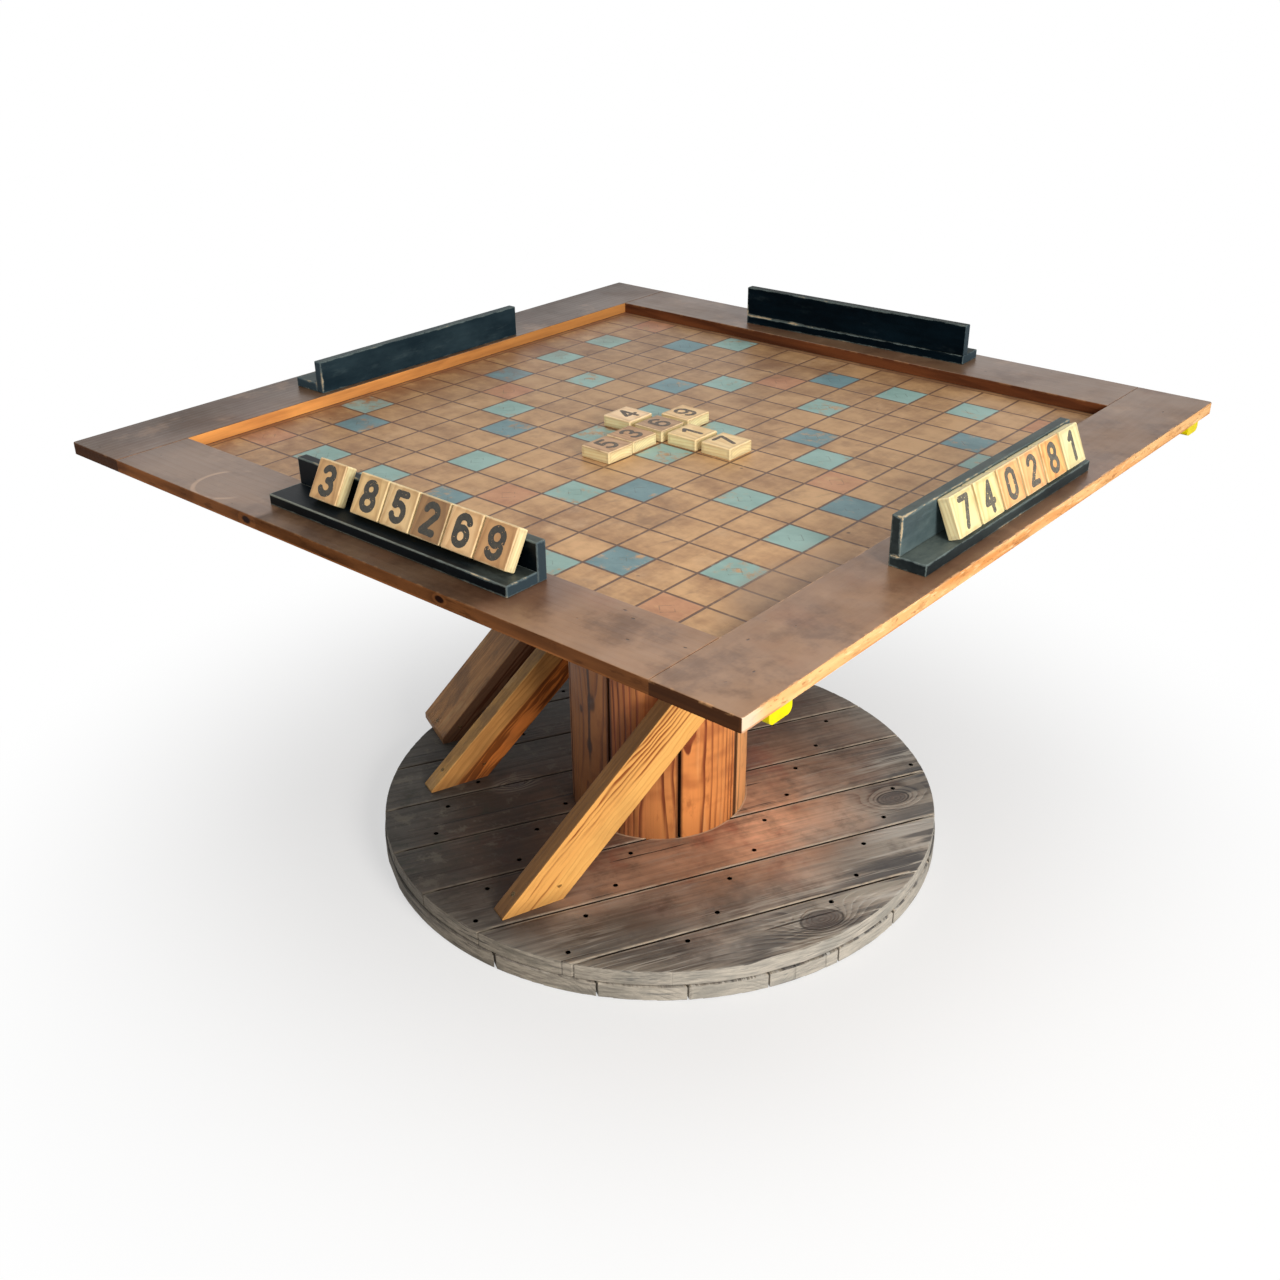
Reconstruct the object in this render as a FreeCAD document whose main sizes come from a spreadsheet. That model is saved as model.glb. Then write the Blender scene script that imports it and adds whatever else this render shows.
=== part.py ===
# Table-size word game board on a cable reel.
# A square framed board, with four tile racks and nineteen tiles, turns on a
# ring of balls on top of a wooden cable reel that three raking braces stiffen.
#
# Millimetres. Z is up, and the origin is on the ground under the middle of the
# top. +Y points to the rear edge of the top and +X to its right edge.

import FreeCAD, Part
import math
import os
import Sketcher
from FreeCAD import Placement, Rotation, Vector
from types import SimpleNamespace

SIZES = {
    # turning top
    "top_side": 1220,
    "corner_round": 4,
    "arris_round": 1.5,
    "border_width": 118,
    "border_thick": 18,
    "panel_thick": 15,
    "panel_lap": 24,
    "cell_pitch": 64,
    # battens under the front and rear borders, and their end caps
    "batten_width": 36,
    "batten_thick": 13,
    "batten_round": 6,
    "batten_inset": 67,
    "cap_length": 32,
    "cap_wall": 2,
    "cap_fit": 0.1,
    "cap_setback": 1,
    # tile racks
    "rack_length": 438,
    "strip_width": 51,
    "strip_thick": 15,
    "strip_round": 1.5,
    "front_rack_margin": 39,
    "front_rack_shift": 32,
    "right_rack_margin": 23,
    "right_rack_shift": -5,
    "rear_rack_margin": 27,
    "rear_rack_shift": 5,
    "rear_rack_skew": 2,
    "left_rack_margin": 43,
    "left_rack_shift": 17,
    # tiles
    "tile_side": 53,
    "tile_thick": 18,
    "tile_round": 2,
    "tile_seat_gap": 0.3,
    "tile_end_margin": 17,
    "front_tile_gap": 2.5,
    "front_tile_break": 28,
    "front_tile_lean": 30,
    "right_tile_gap": 5.2,
    "right_tile_lean": 23.5,
    # reel flanges, each of two crossed layers of planks
    "flange_diameter": 944,
    "flange_step": 3,
    "plank_thick": 26,
    "plank_pitch": 120,
    "plank_gap": 3,
    "plank_round": 2,
    "grain_angle": 62,
    "inner_seam_shift": -10,
    "outer_seam_shift": 20,
    "arbor_diameter": 76,
    # reel drum
    "drum_diameter": 298,
    "drum_height": 569,
    "stave_thick": 28,
    "stave_gap": 5,
    "stave_seat": 8,
    "stave_fit": 0.2,
    "stave_seam_angle": 7.3,
    # tie rods
    "rod_circle": 160,
    "rod_diameter": 12,
    "rod_fit": 0.5,
    "rod_end": 1,
    "rod_recess_diameter": 44,
    "rod_recess_depth": 15,
    "washer_diameter": 36,
    "washer_thick": 3,
    "nut_across": 19,
    "nut_thick": 10,
    "nut_fit": 0.05,
    # raking braces, planed with rounded arrises: the gap is to the drum, foot and head are set in from the rim,
    # and the toe is the height that is left of each feather edge
    "brace_round": 2,
    "front_brace_width": 32,
    "front_brace_depth": 75,
    "front_brace_heading": 70,
    "front_brace_gap": 6,
    "front_brace_foot": 53,
    "front_brace_head": 238,
    "front_brace_toe": 3,
    "middle_brace_width": 32,
    "middle_brace_depth": 75,
    "middle_brace_heading": 70,
    "middle_brace_gap": 35,
    "middle_brace_foot": 77,
    "middle_brace_head": 156,
    "middle_brace_toe": 3,
    "left_brace_width": 104,
    "left_brace_depth": 38,
    "left_brace_heading": 66,
    "left_brace_gap": 152,
    "left_brace_foot": 11,
    "left_brace_head": 60,
    "left_brace_toe": 12,
    # turntable ring
    "bearing_height": 10,
    "race_diameter": 262,
    "ring_width": 25,
    "ring_height": 8.5,
    "ring_gap": 2.4,
    "ball_diameter": 5,
    "race_clearance": 0.4,
    "cage_thick": 1,
    "cage_height": 7,
    "cage_fit": 0.1,
    # countersunk wood screws and clout nails
    "screw_diameter": 4,
    "screw_head": 8,
    "screw_head_depth": 2.4,
    "screw_hole_fit": 0.1,
    "inner_ring_screw": 32,
    "outer_ring_screw": 20,
    "border_screw": 28,
    "batten_screw": 25,
    "brace_screw": 64,
    "side_screw": 55,
    "side_screw_rise": 29,
    "side_screw_lean": 20,
    "side_screw_margin": 8,
    "nail_diameter": 3.2,
    "nail_head": 8,
    "nail_head_thick": 1.2,
    "nail_length": 46,
    "nail_offset": 34,
}

STAVES = 8
RODS = 4
BALLS = 30
RING_SCREWS = 6
BORDER_SCREWS = 5
RACK_TILES = 6
HEX_SIDES = 6
NARROWEST_PLANK = 30

UP = Vector(0, 0, 1)
DOWN = Vector(0, 0, -1)


class Size:
    """A length or an angle: its value, and the sheet expression that gives it."""

    def __init__(self, value, text):
        self.value = float(value)
        self.text = text

    def __float__(self):
        return self.value

    def joined(self, sign, other, value):
        text = other.text if isinstance(other, Size) else str(other)
        return Size(value, f"({self.text} {sign} {text})")

    def __add__(self, other):
        return self.joined("+", other, self.value + float(other))

    def __sub__(self, other):
        return self.joined("-", other, self.value - float(other))

    def __mul__(self, other):
        return self.joined("*", other, self.value * float(other))

    def __truediv__(self, other):
        return self.joined("/", other, self.value / float(other))


# The sheet of driving sizes

doc = FreeCAD.newDocument("WordGameTable")
sheet = doc.addObject("Spreadsheet::Sheet", "Sizes")
for row, (alias, number) in enumerate(SIZES.items(), start=1):
    sheet.set(f"A{row}", alias)
    sheet.set(f"B{row}", str(number))
    sheet.setAlias(f"B{row}", alias)
doc.recompute()
size = SimpleNamespace(**{alias: Size(number, f"Sizes.{alias}") for alias, number in SIZES.items()})

# Levels and shared sizes that follow from the sheet

flange_thick = size.plank_thick * 2
flange_radius = size.flange_diameter / 2
drum_radius = size.drum_diameter / 2
upper_flange_base = flange_thick + size.drum_height
reel_top = upper_flange_base + flange_thick
panel_base = reel_top + size.bearing_height
border_base = panel_base + size.panel_thick
border_top = border_base + size.border_thick
top_half = size.top_side / 2
opening_side = size.top_side - size.border_width * 2
panel_side = opening_side + size.panel_lap * 2
batten_base = border_base - size.batten_thick
race_radius = size.race_diameter / 2
race_level = reel_top + size.bearing_height / 2

nodes = []


def keep(item):
    """Counts an object among the pieces that are written out."""
    nodes.append(item)
    return item


def spot(x, y, z):
    return Vector(float(x), float(y), float(z))


def turned(x, y, z, degrees=0.0):
    """A place at x, y, z, turned about the vertical."""
    return Placement(spot(x, y, z), Rotation(UP, float(degrees)))


def on_circle(radius, degrees, level):
    angle = math.radians(degrees)
    return spot(float(radius) * math.cos(angle), float(radius) * math.sin(angle), level)


# Sketches and PartDesign features


def origin_plane(body, role):
    return next(feature for feature in body.Origin.OriginFeatures if feature.Role == role)


def new_body(label):
    body = doc.addObject("PartDesign::Body", label)
    body.Label = label
    return body


def flat_sketch(body, role):
    sketch = body.newObject("Sketcher::SketchObject", "Outline")
    sketch.AttachmentSupport = [(origin_plane(body, role), "")]
    sketch.MapMode = "FlatFace"
    return sketch


def dimension(sketch, name, kind, ends, length):
    index = sketch.addConstraint(Sketcher.Constraint(kind, *ends, float(length)))
    sketch.renameConstraint(index, name)
    sketch.setExpression(f"Constraints.{name}", length.text)


def rectangle(sketch, width, height):
    """A rectangle with its lower left corner on the sketch's origin."""
    right, top = float(width), float(height)
    corners = [Vector(0, 0), Vector(right, 0), Vector(right, top), Vector(0, top)]
    for index, corner in enumerate(corners):
        sketch.addGeometry(Part.LineSegment(corner, corners[(index + 1) % 4]))
    for index in range(4):
        sketch.addConstraint(Sketcher.Constraint("Coincident", index, 2, (index + 1) % 4, 1))
    for line in (0, 2):
        sketch.addConstraint(Sketcher.Constraint("Horizontal", line))
    for line in (1, 3):
        sketch.addConstraint(Sketcher.Constraint("Vertical", line))
    sketch.addConstraint(Sketcher.Constraint("Coincident", 0, 1, -1, 1))
    dimension(sketch, "width", "DistanceX", (0, 1, 0, 2), width)
    dimension(sketch, "height", "DistanceY", (1, 1, 1, 2), height)


def pad(body, sketch, length):
    feature = body.newObject("PartDesign::Pad", "Pad")
    feature.Profile = sketch
    feature.setExpression("Length", length.text)
    doc.recompute()
    return feature


def round_edges(body, base, radius, wanted=None):
    """Rounds all edges of a body, or those that the wanted test picks."""
    feature = body.newObject("PartDesign::Fillet", "Rounding")
    names = []
    if wanted:
        names = [f"Edge{i}" for i, edge in enumerate(base.Shape.Edges, start=1) if wanted(edge)]
    feature.Base = (base, names)
    feature.UseAllEdges = wanted is None
    feature.setExpression("Radius", radius.text)
    doc.recompute()
    return feature


def block(label, length, width, height, place):
    """A plain board: its lower left corner at the place, length along its X."""
    body = new_body(label)
    sketch = flat_sketch(body, "XY_Plane")
    rectangle(sketch, length, width)
    feature = pad(body, sketch, height)
    body.Placement = place
    return body, feature


def runs_along(edge, direction):
    if edge.Curve.TypeId != "Part::GeomLine":
        return False
    return abs(abs(edge.Curve.Direction.dot(direction)) - 1) < 1e-6


def planed_bar(label, length, width, height, radius, place):
    """A block whose four long edges are rounded."""
    body, base = block(label, length, width, height, place)
    round_edges(body, base, radius, lambda edge: runs_along(edge, Vector(1, 0, 0)))
    return body


def rounded_disc(label, radius, height, rim_round, place):
    """A disc whose two rims are rounded."""
    body = new_body(label)
    sketch = flat_sketch(body, "XY_Plane")
    circle = Part.Circle(Vector(0, 0, 0), UP, float(radius))
    sketch.addGeometry(circle)
    sketch.addConstraint(Sketcher.Constraint("Coincident", 0, 3, -1, 1))
    dimension(sketch, "radius", "Radius", (0,), radius)
    base = pad(body, sketch, height)
    round_edges(body, base, rim_round, lambda edge: edge.Curve.TypeId == "Part::GeomCircle")
    body.Placement = place
    return body


# Part primitives and booleans


def cylinder(name, radius, height, place):
    item = doc.addObject("Part::Cylinder", name)
    item.setExpression("Radius", radius.text)
    item.setExpression("Height", height.text)
    item.Placement = place
    return item


def box(name, length, width, height, place):
    item = doc.addObject("Part::Box", name)
    item.setExpression("Length", length.text)
    item.setExpression("Width", width.text)
    item.setExpression("Height", height.text)
    item.Placement = place
    return item


def torus(name, ring_radius, tube_radius, place):
    item = doc.addObject("Part::Torus", name)
    item.setExpression("Radius1", ring_radius.text)
    item.setExpression("Radius2", tube_radius.text)
    item.Placement = place
    return item


def together(name, items):
    item = doc.addObject("Part::Compound", name)
    item.Links = items
    return item


def boolean(kind, label, base, tool):
    item = doc.addObject(f"Part::{kind}", label)
    item.Label = label
    item.Base = base
    item.Tool = tool
    doc.recompute()
    return item


def shape_feature(label, solids):
    item = doc.addObject("Part::Feature", label)
    item.Label = label
    item.Shape = Part.makeCompound(solids)
    return item


# Fasteners


def countersunk_screw(length, start, direction, growth=0.0):
    """A wood screw whose flat head lies on start and whose tip points away."""
    shank = float(size.screw_diameter) / 2 + growth
    head = float(size.screw_head) / 2 + growth
    head_depth = float(size.screw_head_depth)
    tip = shank * 2
    outline = [
        Vector(0, 0, 0),
        Vector(head, 0, 0),
        Vector(shank, 0, head_depth),
        Vector(shank, 0, float(length) - tip),
        Vector(0, 0, float(length)),
    ]
    profile = Part.Face(Part.makePolygon(outline + outline[:1]))
    solid = profile.revolve(Vector(0, 0, 0), UP, 360)
    solid.Placement = Placement(start, Rotation(UP, direction))
    return solid


def clout_nail(start, direction):
    """A nail with its flat head let in flush at start."""
    shank = float(size.nail_diameter) / 2
    head = float(size.nail_head) / 2
    head_thick = float(size.nail_head_thick)
    tip = shank * 2
    outline = [
        Vector(0, 0, 0),
        Vector(head, 0, 0),
        Vector(head, 0, head_thick),
        Vector(shank, 0, head_thick),
        Vector(shank, 0, float(size.nail_length) - tip),
        Vector(0, 0, float(size.nail_length)),
    ]
    profile = Part.Face(Part.makePolygon(outline + outline[:1]))
    solid = profile.revolve(Vector(0, 0, 0), UP, 360)
    solid.Placement = Placement(start, Rotation(UP, direction))
    return solid


# Reel flanges


def plank_edges(radius, shift):
    """The rim and the seams between planks, across the grain of one layer."""
    steps = int(float(radius) / float(size.plank_pitch)) + 1
    seams = [shift + size.plank_pitch * step for step in range(-steps, steps + 1)]
    widest = float(radius) - NARROWEST_PLANK
    inside = [seam for seam in seams if abs(float(seam)) < widest]
    return [radius * -1] + inside + [radius]


def rod_places(level):
    return [turned(*on_circle(size.rod_circle / 2, 45 + 360 / RODS * i, level)) for i in range(RODS)]


def plank_layer(label, base, angle, shift, radius, cuts):
    """One layer of planks, trimmed to the rim and cut for rods, arbor and staves."""
    edges = plank_edges(radius, shift)
    planks = []
    for low, high in zip(edges, edges[1:]):
        start = spot(radius * -1, low + size.plank_gap / 2, base)
        place = Placement(Rotation(UP, angle).multVec(start), Rotation(UP, angle))
        width = high - low - size.plank_gap
        plank = planed_bar(f"{label}_plank", radius * 2, width, size.plank_thick, size.plank_round, place)
        planks.append(plank)
    disc = rounded_disc(f"{label}_rim", radius, size.plank_thick, size.plank_round, turned(0, 0, base))
    layer = boolean("Common", f"{label}_blank", together(f"{label}_stock", planks), disc)
    bores = [cylinder(f"{label}_arbor", size.arbor_diameter / 2, size.plank_thick, turned(0, 0, base))]
    for place in rod_places(base):
        bore = cylinder(f"{label}_rod_bore", size.rod_diameter / 2 + size.rod_fit, size.plank_thick, place)
        bores.append(bore)
    return keep(boolean("Cut", label, layer, together(f"{label}_cuts", bores + cuts)))


def rod_recesses(base):
    radius = size.rod_recess_diameter / 2
    return [cylinder("rod_recess", radius, size.rod_recess_depth, place) for place in rod_places(base)]


def stave_groove(base):
    outside = drum_radius + size.stave_fit
    inside = drum_radius - size.stave_thick - size.stave_fit
    outer = cylinder("groove_outside", outside, size.stave_seat, turned(0, 0, base))
    inner = cylinder("groove_inside", inside, size.stave_seat, turned(0, 0, base))
    return [boolean("Cut", "stave_groove", outer, inner)]


def build_flanges():
    along = float(size.grain_angle)
    across = along + 90
    inner_radius = flange_radius - size.flange_step
    inner_shift = size.inner_seam_shift
    outer_shift = size.outer_seam_shift
    groove_base = flange_thick - size.stave_seat
    recess_base = reel_top - size.rod_recess_depth
    bottom = flange_thick * 0
    plank_layer("lower_flange_bottom_planks", bottom, across, outer_shift, flange_radius,
                rod_recesses(bottom))
    plank_layer("lower_flange_top_planks", size.plank_thick, along, inner_shift, inner_radius,
                stave_groove(groove_base))
    plank_layer("upper_flange_bottom_planks", upper_flange_base, along, inner_shift, inner_radius,
                stave_groove(upper_flange_base))
    plank_layer("upper_flange_top_planks", upper_flange_base + size.plank_thick, across, outer_shift,
                flange_radius, rod_recesses(recess_base))


def build_flange_nails():
    """A nail at each crossing of two planks, set to one side and then the other."""
    turn = Rotation(UP, float(size.grain_angle))
    columns = plank_edges(flange_radius, size.outer_seam_shift)
    rows = plank_edges(flange_radius, size.inner_seam_shift)
    clear_of_drum = float(drum_radius) + float(size.nail_head) * 2
    clear_of_rim = float(flange_radius) - float(size.nail_head) * 2
    solids = []
    for i, (left, right) in enumerate(zip(columns, columns[1:])):
        for j, (low, high) in enumerate(zip(rows, rows[1:])):
            side = 1 if (i + j) % 2 else -1
            along = -(float(left) + float(right)) / 2 + side * float(size.nail_offset)
            across = (float(low) + float(high)) / 2 - side * float(size.nail_offset)
            if not clear_of_drum < math.hypot(along, across) < clear_of_rim:
                continue
            place = turn.multVec(Vector(along, across, 0))
            solids.append(clout_nail(place + spot(0, 0, flange_thick), DOWN))
            solids.append(clout_nail(place + spot(0, 0, upper_flange_base), UP))
    keep(shape_feature("flange_nails", solids))


# Reel drum and its tie rods


def build_drum():
    base = flange_thick - size.stave_seat
    height = size.drum_height + size.stave_seat * 2
    outer = cylinder("drum_outside", drum_radius, height, turned(0, 0, base))
    inner = cylinder("drum_inside", drum_radius - size.stave_thick, height, turned(0, 0, base))
    tube = boolean("Cut", "drum_tube", outer, inner)
    seams = []
    for index in range(STAVES // 2):
        turn = Rotation(UP, float(size.stave_seam_angle) + 360 / STAVES * index)
        corner = spot(drum_radius * -1, size.stave_gap / -2, base)
        place = Placement(turn.multVec(corner), turn)
        seams.append(box("stave_seam", size.drum_diameter, size.stave_gap, height, place))
    keep(boolean("Cut", "drum_staves", tube, together("stave_seams", seams)))


def build_tie_rods():
    """Four rods that clamp the flanges on the drum, with washers and nuts let in."""
    length = reel_top - size.rod_end * 2
    rods = [cylinder("tie_rod", size.rod_diameter / 2, length, place) for place in rod_places(size.rod_end)]
    keep(together("tie_rods", rods))
    low_washer = size.rod_recess_depth - size.washer_thick
    high_washer = reel_top - size.rod_recess_depth
    bore = size.rod_diameter / 2 + size.nut_fit
    washers = []
    for place in rod_places(low_washer) + rod_places(high_washer):
        disc = cylinder("washer_disc", size.washer_diameter / 2, size.washer_thick, place)
        hole = cylinder("washer_hole", bore, size.washer_thick, place)
        washers.append(boolean("Cut", "washer", disc, hole))
    keep(together("tie_rod_washers", washers))
    nuts = []
    for place in rod_places(low_washer - size.nut_thick) + rod_places(high_washer + size.washer_thick):
        prism = doc.addObject("Part::Prism", "nut_blank")
        prism.Polygon = HEX_SIDES
        prism.setExpression("Circumradius", (size.nut_across / math.sqrt(3)).text)
        prism.setExpression("Height", size.nut_thick.text)
        prism.Placement = place
        hole = cylinder("nut_hole", bore, size.nut_thick, place)
        nuts.append(boolean("Cut", "nut", prism, hole))
    keep(together("tie_rod_nuts", nuts))


# Raking braces


def brace_line(name, side):
    """Where a brace runs beside the drum: its heading and the ends of its upper edge."""
    width = getattr(size, f"{name}_brace_width")
    gap = getattr(size, f"{name}_brace_gap")
    heading = float(getattr(size, f"{name}_brace_heading"))
    offset = float(drum_radius) + float(gap) + float(width) / 2
    half_chord = math.sqrt(float(flange_radius) ** 2 - offset ** 2)
    foot = float(getattr(size, f"{name}_brace_foot")) - half_chord
    head = half_chord - float(getattr(size, f"{name}_brace_head"))
    turn = Rotation(UP, heading)
    return SimpleNamespace(turn=turn, offset=-side * offset, foot=foot, run=head - foot)


def build_brace(name, side):
    """A square-sawn bar, cut level at both ends between the flanges, with blunt toes."""
    width = getattr(size, f"{name}_brace_width")
    depth = getattr(size, f"{name}_brace_depth")
    blunt = float(getattr(size, f"{name}_brace_toe"))
    line = brace_line(name, side)
    rise = math.atan2(float(size.drum_height), line.run)
    slope = math.tan(rise)
    foot_length = float(depth) / math.sin(rise)
    along = Vector(math.cos(rise), 0, math.sin(rise))
    outward = Vector(-math.sin(rise), 0, math.cos(rise))
    upper_edge = Vector(line.foot, line.offset, float(flange_thick))
    lower_edge = Vector(line.foot + line.run + foot_length, line.offset, float(upper_flange_base))

    stock_corner = upper_edge - along * float(depth) * 2 - outward * float(depth) - spot(0, width / 2, 0)
    tilt = Rotation(Vector(0, 1, 0), -math.degrees(rise))
    stock_place = Placement(line.turn.multVec(stock_corner), line.turn.multiply(tilt))
    length = size.flange_diameter + size.drum_height
    stock = planed_bar(f"{name}_brace_stock", length, width, depth, size.brace_round, stock_place)
    foot_trim = line.foot + blunt / slope
    head_trim = lower_edge.x - blunt / slope - float(length)
    for start in (foot_trim, head_trim):
        corner = line.turn.multVec(spot(start, length / -2, flange_thick))
        slab = box(f"{name}_brace_trim", length, length, size.drum_height, Placement(corner, line.turn))
        stock = boolean("Common", f"{name}_brace_cut", stock, slab)
    stock.Label = f"{name}_brace"
    keep(stock)

    # One screw square to the sloping face, and one let in low on the side face
    toe = (blunt / math.sin(rise) + float(depth) / slope) / 2
    lean = math.radians(float(size.side_screw_lean))
    side_start = upper_edge + spot(foot_length - float(size.side_screw_margin), width / -2,
                                   size.side_screw_rise)
    side_way = Vector(0, math.sin(lean), -math.cos(lean))
    pairs = (
        (upper_edge + along * toe, outward * -1, size.brace_screw),
        (side_start, side_way, size.side_screw),
    )
    screws = []
    for start, way, screw_length in pairs:
        mirrored = upper_edge + lower_edge - start
        for point, direction in ((start, way), (mirrored, way * -1)):
            heading = line.turn.multVec(direction)
            screws.append(countersunk_screw(screw_length, line.turn.multVec(point), heading))
    return screws


def build_braces():
    screws = build_brace("front", 1)
    screws += build_brace("middle", -1)
    screws += build_brace("left", -1)
    keep(shape_feature("brace_screws", screws))


# Turntable ring


def ring_screw_shapes(radius, level, length, direction, growth=0.0):
    shapes = []
    for index in range(RING_SCREWS):
        start = on_circle(radius, 360 / RING_SCREWS * (index + 0.5), level)
        shapes.append(countersunk_screw(length, start, direction, growth))
    return shapes


def ring(label, inside, outside, base, screw_radius, screw_level, screw_length, direction):
    """A flat ring with a ball track and countersunk holes, and its screws."""
    outer = cylinder(f"{label}_outside", outside, size.ring_height, turned(0, 0, base))
    inner = cylinder(f"{label}_inside", inside, size.ring_height, turned(0, 0, base))
    plain = boolean("Cut", f"{label}_plain", outer, inner)
    track = torus(f"{label}_track", race_radius, size.ball_diameter / 2 + size.race_clearance,
                  turned(0, 0, race_level))
    tracked = boolean("Cut", f"{label}_tracked", plain, track)
    growth = float(size.screw_hole_fit)
    holes = ring_screw_shapes(screw_radius, screw_level, screw_length, direction, growth)
    keep(boolean("Cut", label, tracked, shape_feature(f"{label}_holes", holes)))
    screws = ring_screw_shapes(screw_radius, screw_level, screw_length, direction)
    keep(shape_feature(f"{label}_screws", screws))


def build_turntable():
    inner_outside = race_radius - size.ring_gap / 2
    inner_inside = inner_outside - size.ring_width
    outer_inside = race_radius + size.ring_gap / 2
    outer_outside = outer_inside + size.ring_width
    outer_base = panel_base - size.ring_height
    ring("fixed_ring", inner_inside, inner_outside, reel_top, inner_outside - size.ring_width / 2,
         reel_top + size.ring_height, size.inner_ring_screw, DOWN)
    ring("turning_ring", outer_inside, outer_outside, outer_base, outer_inside + size.ring_width / 2,
         outer_base, size.outer_ring_screw, UP)
    ball_radius = size.ball_diameter / 2
    balls = []
    pockets = []
    for index in range(BALLS):
        angle = 360 / BALLS * index
        ball = doc.addObject("Part::Sphere", "ball")
        ball.setExpression("Radius", ball_radius.text)
        ball.Placement = Placement(on_circle(race_radius, angle, race_level), Rotation())
        balls.append(ball)
        outward = Rotation(UP, angle).multVec(Vector(1, 0, 0))
        start = on_circle(race_radius - size.ring_gap / 2, angle, race_level)
        place = Placement(start, Rotation(UP, outward))
        pockets.append(cylinder("ball_pocket", ball_radius + size.cage_fit, size.ring_gap, place))
    keep(together("turntable_balls", balls))
    cage_base = race_level - size.cage_height / 2
    outer = cylinder("cage_outside", race_radius + size.cage_thick / 2, size.cage_height,
                     turned(0, 0, cage_base))
    inner = cylinder("cage_inside", race_radius - size.cage_thick / 2, size.cage_height,
                     turned(0, 0, cage_base))
    band = boolean("Cut", "cage_band", outer, inner)
    keep(boolean("Cut", "ball_cage", band, together("ball_pockets", pockets)))


# Board panel, border and battens


def build_border():
    """Left and right boards run the full length, front and rear fit between them."""
    outer_edges = lambda edge: runs_along(edge, UP) and edge.CenterOfMass.y < 1e-6
    top_edges = lambda edge: abs(edge.BoundBox.ZMin - float(size.border_thick)) < 1e-6
    places = {
        "left_border": turned(top_half * -1, top_half, border_base, -90),
        "right_border": turned(top_half, top_half * -1, border_base, 90),
    }
    for label, place in places.items():
        body, base = block(label, size.top_side, size.border_width, size.border_thick, place)
        rounded = round_edges(body, base, size.corner_round, outer_edges)
        round_edges(body, rounded, size.arris_round, top_edges)
        keep(body)
    places = {
        "front_border": turned(opening_side / -2, top_half * -1, border_base),
        "rear_border": turned(opening_side / 2, top_half, border_base, 180),
    }
    for label, place in places.items():
        body, base = block(label, opening_side, size.border_width, size.border_thick, place)
        round_edges(body, base, size.arris_round, top_edges)
        keep(body)
    half_panel = panel_side / -2
    panel, _ = block("game_panel", panel_side, panel_side, size.panel_thick,
                     turned(half_panel, half_panel, panel_base))
    keep(panel)


def build_border_screws():
    """Screws up through the lap of the panel into each border board."""
    across = float(opening_side + size.panel_lap) / 2
    step = float(opening_side) / BORDER_SCREWS
    solids = []
    for side in range(4):
        turn = Rotation(UP, 90 * side)
        for index in range(BORDER_SCREWS):
            along = (index - (BORDER_SCREWS - 1) / 2) * step
            start = turn.multVec(spot(along, -across, panel_base))
            solids.append(countersunk_screw(size.border_screw, start, UP))
    keep(shape_feature("border_screws", solids))


def build_battens():
    length = size.top_side - (size.cap_setback + size.cap_wall) * 2
    low_edges = lambda edge: runs_along(edge, Vector(1, 0, 0)) and edge.CenterOfMass.z < 1e-6
    middle = top_half - size.batten_inset
    border_middle = float(top_half - size.border_width / 2)
    near_joint = float(opening_side) / 2 - float(size.border_width) / 2
    screws = []
    for label, side in (("front_batten", -1), ("rear_batten", 1)):
        corner = turned(length / -2, middle * side - size.batten_width / 2, batten_base)
        body, base = block(label, length, size.batten_width, size.batten_thick, corner)
        round_edges(body, base, size.batten_round, low_edges)
        keep(body)
        for along in (-border_middle, -near_joint, 0, near_joint, border_middle):
            start = spot(along, middle * side, batten_base)
            screws.append(countersunk_screw(size.batten_screw, start, UP))
    keep(shape_feature("batten_screws", screws))


def build_batten_caps():
    """Moulded caps, open on top and at the inner end, pushed over the batten ends."""
    width = size.batten_width + (size.cap_wall + size.cap_fit) * 2
    height = size.batten_thick + size.cap_wall + size.cap_fit
    low_edges = lambda edge: runs_along(edge, Vector(1, 0, 0)) and edge.CenterOfMass.z < 1e-6
    outer_end = top_half - size.cap_setback
    middle = top_half - size.batten_inset
    corners = {
        "front_right_cap": (1, -1),
        "rear_right_cap": (1, 1),
        "front_left_cap": (-1, -1),
        "rear_left_cap": (-1, 1),
    }
    for label, (right, rear) in corners.items():
        heading = 0 if right > 0 else 180
        inner_end = (outer_end - size.cap_length) * right
        edge = middle * rear - width / 2 * right
        place = turned(inner_end, edge, border_base - height, heading)
        body, base = block(label, size.cap_length, width, height, place)
        rounded = round_edges(body, base, size.batten_round + size.cap_wall, low_edges)
        shell = body.newObject("PartDesign::Thickness", "Shell")
        open_faces = []
        for index, face in enumerate(rounded.Shape.Faces, start=1):
            on_top = face.BoundBox.ZMin > float(height) - 1e-6
            inner = face.BoundBox.XMax < 1e-6
            if on_top or inner:
                open_faces.append(f"Face{index}")
        shell.Base = (rounded, open_faces)
        shell.setExpression("Value", size.cap_wall.text)
        shell.Reversed = True
        doc.recompute()
        keep(body)


# Racks


def rack_frame(name, turn):
    """The rack's left end on its outer edge, X along the rack and Y inward."""
    margin = getattr(size, f"{name}_rack_margin")
    shift = getattr(size, f"{name}_rack_shift")
    edge = turned(0, 0, border_top, turn).multiply(turned(shift, margin - top_half, 0))
    skew = getattr(size, f"{name}_rack_skew", 0)
    return edge.multiply(turned(0, 0, 0, skew)).multiply(turned(size.rack_length / -2, 0, 0))


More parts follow.
